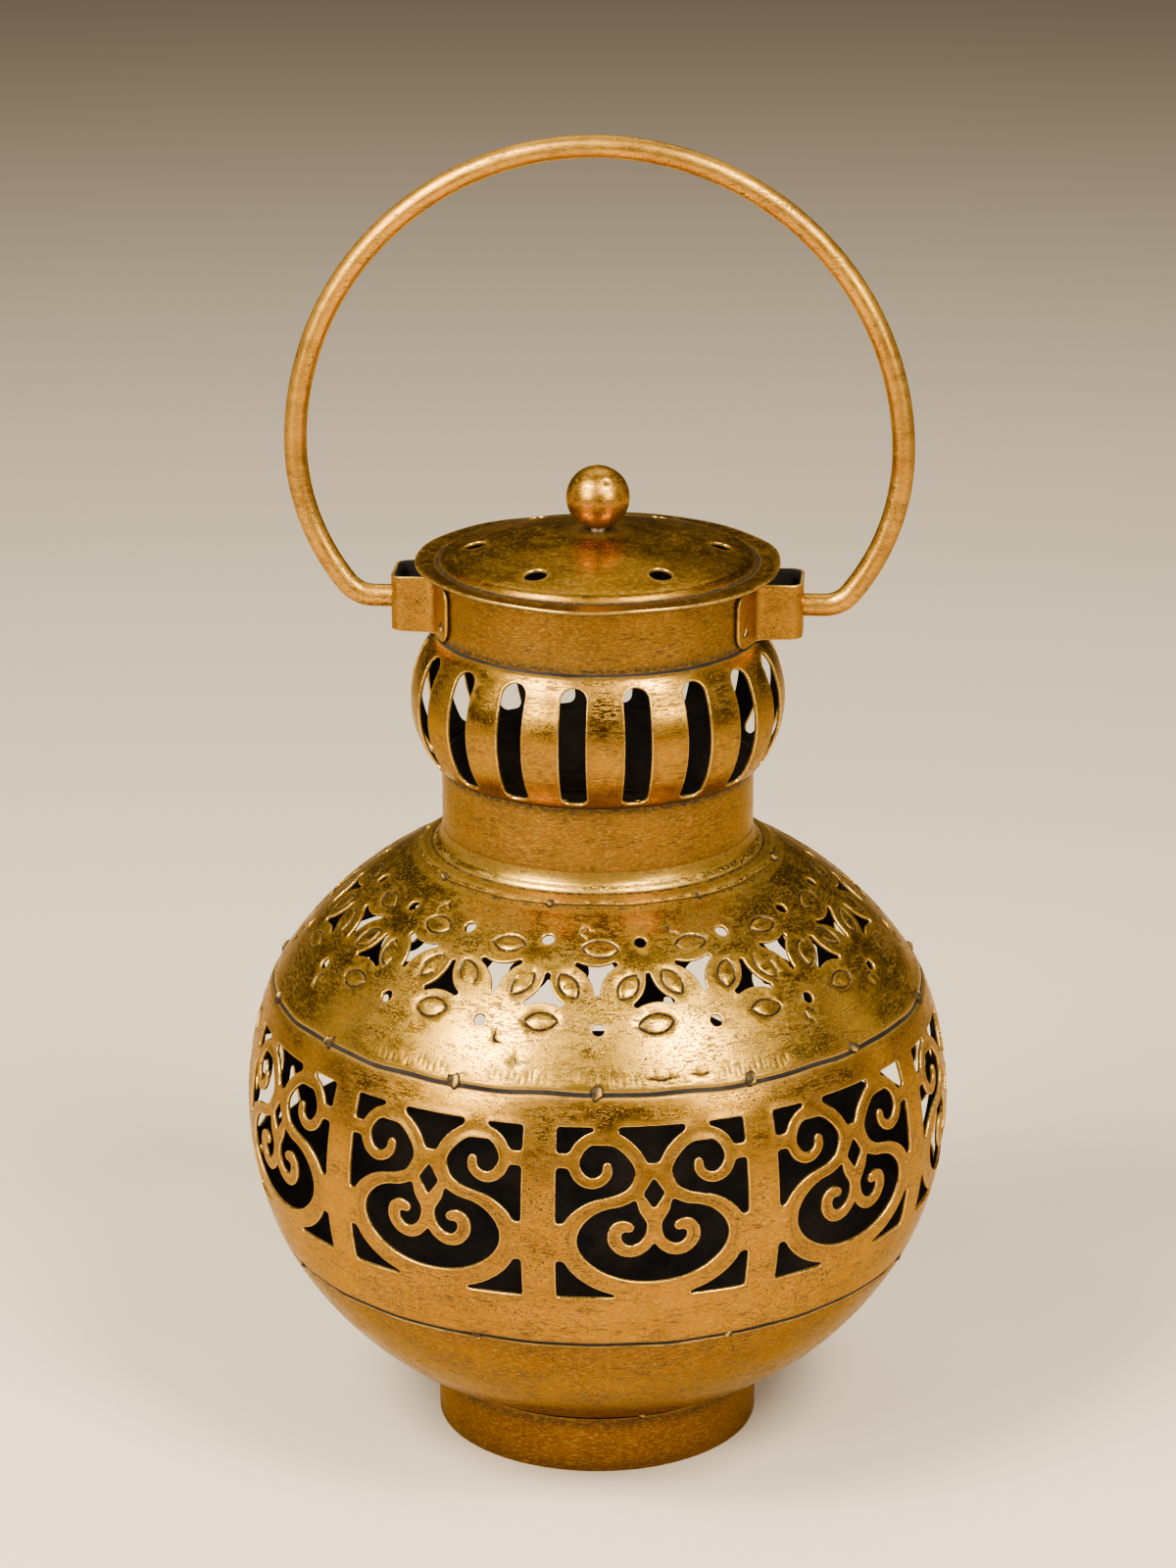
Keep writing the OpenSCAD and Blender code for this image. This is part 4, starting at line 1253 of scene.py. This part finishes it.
def on_shell(azimuth, r, z, waviness):
    return Vector(round_axis(np.array([azimuth]), np.array([r]), np.array([z]), waviness)[0])


# Rows of tacks: piece, node, radius, height; count, first azimuth, tilt, bead radius and height, waviness
TACKS = (
    ("upper_seam_weld", "upper_seam_tacks", UPPER_SEAM_R - 0.2, UPPER_SEAM_Z + 0.7,
     14, 4.0, 28, 1.3, 0.75, 1.0),
    ("lower_seam_weld", "lower_seam_tacks", LOWER_SEAM_R - 0.2, LOWER_SEAM_Z + 0.2,
     8, -16.0, -26, 1.15, 0.6, 1.0),
    ("neck_tack_welds", "neck_tacks", FLANGE_R + 0.55, FLANGE_Z + 0.05,
     8, -9.0, 62, 1.15, 0.85, NECK_WAVES),
    ("foot_tack_welds", "foot_tacks", FOOT_R - 0.2, FOOT_TOP_Z - 0.2,
     4, 20.0, -30, 1.1, 0.8, 0.3),
)
FILLED = {"upper_seam_weld": (BAND.high, UPPER_SEAM_Z), "lower_seam_weld": (BAND.low, LOWER_SEAM_Z)}


def build_welds(materials):
    rng = random.Random(WELD_SEED)
    for name, node, r, z, count, first, tilt, radius, height, waviness in TACKS:
        skin = Skin()
        if name in FILLED:
            seam_filler(skin, BAND, *FILLED[name])
        for k in range(count):
            azimuth = first + k * 360 / count + rng.uniform(-1.5, 1.5)
            size = radius * rng.uniform(0.8, 1.15)
            at = on_shell(azimuth, r, z, waviness)
            bead(skin, at, direction(azimuth, tilt), size, height, rng.uniform(0, 50))
        make_piece(name, skin, materials, "lantern", [node], 60)
    skin = Skin()
    for side in (90, -90):
        for s in (-1, 1):
            azimuth = side + s * (LUG_FLANGE_A - 5)
            at = on_shell(azimuth, COLLAR_R + SHEET + 0.15, LUG_LOW + 4, 0.0)
            bead(skin, at, direction(azimuth, 0), 1.25, 0.3, 7 + s + side)
    make_piece("lug_weld_dimples", skin, materials, "lantern", ["lug_spot_welds"], 60)


# ---- Materials ----

class Shader:
    """A small helper that builds a node tree."""

    def __init__(self, name):
        self.material = bpy.data.materials.new(name)
        self.material.use_nodes = True
        self.tree = self.material.node_tree
        self.surface = self.tree.nodes["Principled BSDF"]
        self.place = self.node("ShaderNodeTexCoord").outputs["Object"]

    def node(self, kind, **settings):
        made = self.tree.nodes.new(kind)
        for key, value in settings.items():
            setattr(made, key, value)
        return made

    def plug(self, socket, value):
        if isinstance(value, bpy.types.NodeSocket):
            self.tree.links.new(value, socket)
        else:
            socket.default_value = value

    def noise(self, scale, detail, roughness=0.55, squeeze=1.0, seed=0.0):
        """Noise with the given number of features per metre, and squeeze times as many upwards."""
        mapping = self.node("ShaderNodeMapping")
        self.plug(mapping.inputs["Vector"], self.place)
        mapping.inputs["Location"].default_value = (seed, seed * 0.7, -seed)
        mapping.inputs["Scale"].default_value = (1, 1, squeeze)
        texture = self.node("ShaderNodeTexNoise")
        self.plug(texture.inputs["Vector"], mapping.outputs["Vector"])
        texture.inputs["Scale"].default_value = scale
        texture.inputs["Detail"].default_value = detail
        texture.inputs["Roughness"].default_value = roughness
        return texture.outputs["Fac"]

    def math(self, operation, a, b=0.0, c=0.0):
        made = self.node("ShaderNodeMath", operation=operation)
        for socket, value in zip(made.inputs, (a, b, c)):
            self.plug(socket, value)
        return made.outputs[0]

    def times(self, a, b):
        return self.math("MULTIPLY", a, b)

    def span(self, value, start, end, low_value=0.0, high_value=1.0):
        """Value from low to high as the input goes from start to end."""
        made = self.node("ShaderNodeMapRange", interpolation_type="SMOOTHSTEP")
        for socket, v in zip(made.inputs, (value, start, end, low_value, high_value)):
            self.plug(socket, v)
        return made.outputs[0]

    def mix(self, share, a, b):
        made = self.node("ShaderNodeMix", data_type="RGBA")
        self.plug(made.inputs["Factor"], share)
        for socket, value in ((made.inputs[6], a), (made.inputs[7], b)):
            self.plug(socket, value if isinstance(value, bpy.types.NodeSocket) else (*value, 1.0))
        return made.outputs[2]

    def mark(self, name):
        return self.node("ShaderNodeAttribute", attribute_name=name).outputs["Fac"]

    def finish(self, colour, metallic, roughness, height, strength, distance):
        """Plugs the results into the surface, with the height as bump, and gives the material."""
        bump = self.node("ShaderNodeBump")
        bump.inputs["Strength"].default_value = strength
        bump.inputs["Distance"].default_value = distance
        self.plug(bump.inputs["Height"], height)
        for socket, value in (("Base Color", colour), ("Metallic", metallic), ("Roughness", roughness),
                              ("Normal", bump.outputs["Normal"])):
            self.plug(self.surface.inputs[socket], value)
        return self.material


# Near black of grime, also used for painted shade in creases, at joints and under parts.
GRIME_AND_SHADE = (0.010, 0.006, 0.003)
# Bright gold of worn paint, also used for the painted glints on the weld tacks.
WORN_GOLD_AND_GLINT = (0.86, 0.51, 0.09)
GOLD_SHEEN = (1.0, 0.78, 0.45, 1.0)
# Layers of the gilt: features per metre, detail, roughness, squeeze, seed, and the span they are read over
GILT_LAYERS = {
    "brushed": (700, 3, 0.6, 5, 5, 0.45, 0.72, 0.0, 0.22),
    "worn_patch": (42, 5, 0.75, 1.6, 9, 0.41, 0.58),
    "pit": (1400, 3, 0.65, 1.8, 2, 0.54, 0.615),
    "stroke": (300, 6, 0.8, 6.0, 1, 0.505, 0.59),
    "stroke_patch": (60, 4, 0.7, 2.5, 11, 0.42, 0.56),
    "stain": (120, 6, 0.8, 1.5, 7, 0.52, 0.72, 0.0, 0.3),
    "broken": (800, 5, 0.75, 1.3, 4, 0.28, 0.66, 0.3, 1.6),
    "chipped": (300, 3, 0.6, 1, 8, 0.30, 0.52, 0.2, 0.9),
}


def gilt(name, light, deep, specks, streaks, gloss, seed):
    """Antique gold paint over iron: uneven tone, dark pits, sideways wear, dirty creases, bright edges."""
    s = Shader(name)
    layer = {key: s.span(s.noise(*row[:4], seed + row[4]), *row[5:]) for key, row in GILT_LAYERS.items()}
    cloud, patch = s.noise(26, 4, 0.6, 1, seed), s.noise(110, 5, 0.7, 2.2, seed + 3)
    tone = s.span(s.math("ADD", s.times(cloud, 0.6), s.times(patch, 0.4)), 0.36, 0.60)
    colour = s.mix(layer["brushed"], s.mix(tone, deep, light), WORN_GOLD_AND_GLINT)
    pits = s.times(s.times(layer["pit"], specks), s.math("ADD", s.times(layer["worn_patch"], 0.88), 0.12))
    strokes = s.times(s.times(layer["stroke"], streaks), layer["stroke_patch"])
    stain = s.times(layer["stain"], layer["worn_patch"])
    # The grime mark carries grime and painted shade.
    grime_and_shade = s.times(s.mark("grime_and_shade"), layer["broken"])
    dark = s.math("MAXIMUM", s.math("MAXIMUM", pits, strokes), s.math("MAXIMUM", stain, grime_and_shade))
    dark = s.math("MINIMUM", dark, 1.0)
    # The edge mark carries edge wear, and a painted glint on the weld tacks.
    colour = s.mix(s.times(s.mark("edge"), layer["chipped"]), s.mix(dark, colour, GRIME_AND_SHADE), WORN_GOLD_AND_GLINT)
    s.surface.inputs["Specular Tint"].default_value = GOLD_SHEEN
    metallic = s.math("SUBTRACT", 1.0, s.times(dark, 0.5))
    sheen = s.span(s.noise(120, 4, 0.65, 2.5, seed + 6), 0.32, 0.68, gloss - 0.02, gloss + 0.08)
    roughness = s.math("ADD", sheen, s.times(dark, 0.25))
    grain = s.times(s.noise(1500, 2, 0.6, 2, seed), 0.12)
    lumps = s.times(s.noise(240, 2, 0.5, 1.3, seed + 2), 0.13)
    height = s.math("SUBTRACT", s.math("ADD", grain, lumps), s.times(dark, 0.10))
    return s.finish(colour, metallic, roughness, height, 0.6, 0.00025)


def soot_and_shade(name):
    """Inside of the shells: bare iron, dark with smoke, and painted near black as shade for the dim inside of
    the lantern.
    """
    s = Shader(name)
    cloud = s.span(s.noise(60, 4, 0.6), 0.35, 0.7)
    colour = s.mix(cloud, (0.005, 0.0035, 0.0025), (0.018, 0.012, 0.007))
    s.surface.inputs["Specular IOR Level"].default_value = 0.15
    roughness = s.span(s.noise(300, 3), 0.3, 0.7, 0.7, 0.95)
    return s.finish(colour, 0.15, roughness, s.noise(700, 3, 0.6), 0.5, 0.0002)


def dull_steel(name, light, deep, gloss):
    """Plain steel of fasteners and the cup, with turning marks and some rust brown."""
    s = Shader(name)
    stain = s.span(s.noise(160, 5, 0.7), 0.42, 0.68)
    roughness = s.span(s.noise(420, 3, 0.6, 5), 0.3, 0.7, gloss, gloss + 0.2)
    return s.finish(s.mix(stain, light, deep), s.span(stain, 0.0, 1.0, 1.0, 0.55), roughness,
                    s.noise(900, 2, 0.5, 4), 0.4, 0.0001)


def plain(name, colour, roughness):
    s = Shader(name)
    s.surface.inputs["Base Color"].default_value = (*colour, 1.0)
    s.surface.inputs["Roughness"].default_value = roughness
    return s.material


# ---- Stage ----

CAMERA_AZIMUTH, CAMERA_ELEVATION, CAMERA_DISTANCE, CAMERA_SIDE = 4.65, 18.5, 1.2, -0.0026
AIM_Z, LIGHT_AIM_Z, LENS = 0.181, 0.16, 103.5
FLOOR_HALF, FLOOR_PAINT = 9, (0.53, 0.43, 0.30)
SKY, SKY_STRENGTH = (1.0, 0.92, 0.80, 1.0), 0.06
WARM_WHITE = (1.0, 0.95, 0.87)
# Name, azimuth from the camera, elevation, distance, size, power, colour
LIGHTS = (
    ("key_left", -50, 47, 1.25, (0.40, 0.42), 52, WARM_WHITE),
    ("key_right", 40, 48, 1.25, (0.34, 0.40), 40, WARM_WHITE),
    ("low_left", -42, 22, 1.25, (0.40, 0.24), 18, WARM_WHITE),
    ("low_right", 44, 22, 1.25, (0.34, 0.24), 13, WARM_WHITE),
    ("back_top", 180, 62, 1.5, (1.2, 0.8), 10, (1, 1, 1)),
    ("side_right", 105, 12, 1.4, (0.25, 0.9), 1.5, (1.0, 0.88, 0.72)),
    ("side_left", -105, 12, 1.4, (0.25, 0.9), 1.2, (1.0, 0.90, 0.76)),
)


def direction(azimuth, elevation):
    a, e = math.radians(azimuth), math.radians(elevation)
    return Vector((math.sin(a) * math.cos(e), -math.cos(a) * math.cos(e), math.sin(e)))


def face_along(thing, way):
    thing.rotation_mode = "QUATERNION"
    thing.rotation_quaternion = way.to_track_quat("-Z", "Y")


def build_camera():
    camera = put_in_scene("camera", bpy.data.cameras.new("camera"))
    bpy.context.scene.camera = camera
    back = direction(CAMERA_AZIMUTH, CAMERA_ELEVATION)
    side = direction(CAMERA_AZIMUTH + 90, 0)
    camera.location = Vector((0, 0, AIM_Z)) + back * CAMERA_DISTANCE + side * CAMERA_SIDE
    face_along(camera, -back)
    camera.data.lens = LENS
    camera.data.sensor_width = 36.0
    camera.data.clip_start, camera.data.clip_end = 0.05, 50.0


def soft_light(name, azimuth, elevation, distance, size, power, colour):
    lamp = bpy.data.lights.new(name, "AREA")
    lamp.shape = "RECTANGLE"
    lamp.size, lamp.size_y = size
    lamp.energy = power
    lamp.color = colour
    made = put_in_scene(name, lamp)
    way = direction(CAMERA_AZIMUTH + azimuth, elevation)
    made.location = Vector((0, 0, LIGHT_AIM_Z)) + way * distance
    face_along(made, -way)


def build_stage():
    h = FLOOR_HALF
    mesh = bpy.data.meshes.new("floor")
    mesh.from_pydata([(-h, -h, 0), (h, -h, 0), (h, h, 0), (-h, h, 0)], [], [(0, 1, 2, 3)])
    mesh.materials.append(plain("floor_paint", FLOOR_PAINT, 0.8))
    floor = put_in_scene("floor", mesh)
    world = bpy.data.worlds.new("studio")
    bpy.context.scene.world = world
    world.use_nodes = True
    sky = world.node_tree.nodes["Background"]
    sky.inputs["Color"].default_value = SKY
    sky.inputs["Strength"].default_value = SKY_STRENGTH
    for light in LIGHTS:
        soft_light(*light)


# ---- Everything ----

# The gilt of each part: light tone, deep tone, specks, streaks, gloss, seed. The parts share one gilt; their
# tones are darkened or lightened part by part to match how bright each part looks under the light, so they
# are partly its colour and partly painted light and shade.
GILTS = {
    "bowl": ((0.155, 0.062, 0.003), (0.12, 0.047, 0.002), 1.0, 0.85, 0.22, 1.0),
    "band": ((0.31, 0.138, 0.005), (0.24, 0.102, 0.003), 1.0, 0.85, 0.22, 2.0),
    "shoulder": ((0.38, 0.195, 0.012), (0.30, 0.148, 0.008), 1.0, 0.85, 0.22, 3.0),
    "neck": ((0.25, 0.116, 0.006), (0.21, 0.094, 0.004), 0.6, 0.8, 0.22, 4.0),
    "foot": ((0.15, 0.058, 0.003), (0.105, 0.039, 0.002), 0.7, 0.5, 0.34, 7.0),
    "tube": ((0.18, 0.082, 0.005), (0.15, 0.067, 0.004), 0.6, 0.8, 0.24, 5.0),
    "lug": ((0.29, 0.130, 0.007), (0.19, 0.080, 0.004), 1.0, 0.5, 0.32, 10.0),
    "lid": ((0.20, 0.092, 0.006), (0.165, 0.072, 0.004), 0.35, 0.3, 0.26, 13.0),
    "rod": ((0.50, 0.235, 0.018), (0.22, 0.092, 0.006), 1.0, 0.7, 0.30, 16.0),
    "knob": ((0.48, 0.225, 0.020), (0.27, 0.118, 0.008), 0.8, 0.5, 0.27, 19.0),
    "weld": ((0.24, 0.10, 0.008), (0.08, 0.033, 0.003), 0.9, 0.5, 0.38, 22.0),
}
# Parts without the sooty inside, which is also painted shade
SOLID = ("rod", "knob")


def build_lantern():
    inner_soot_and_shade = soot_and_shade("sooty_shaded_iron")
    gilts = {part: [gilt(part + "_gilt", *look)] for part, look in GILTS.items()}
    for part in gilts:
        if part not in SOLID:
            gilts[part].append(inner_soot_and_shade)
    build_foot(gilts["foot"])
    build_bowl(gilts["bowl"])
    build_scroll_band(gilts["band"])
    build_flower_shoulder(gilts["shoulder"])
    build_flange(gilts["shoulder"])
    build_collars(gilts["tube"])
    build_slotted_bulge(gilts["neck"])
    build_lug("lug_right_strap", "lug_right", 0.0, gilts["lug"])
    build_lug("lug_left_strap", "lug_left", 180.0, gilts["lug"])
    build_bail(gilts["rod"])
    build_lid(gilts["lid"])
    build_knob(gilts["knob"])
    build_cup([dull_steel("cup_metal", (0.42, 0.36, 0.27), (0.12, 0.085, 0.05), 0.38)])
    build_welds(gilts["weld"])
    steel = dull_steel("fastener_metal", (0.46, 0.43, 0.38), (0.20, 0.14, 0.09), 0.35)
    for node, material in (("lid_sleeve", inner_soot_and_shade), ("knob_screw", steel), ("knob_washer", steel),
                           ("cup_rivet", steel)):
        for holder in frame["nodes"][node].material_slots:
            holder.material = material


build_lantern()
build_stage()
build_camera()
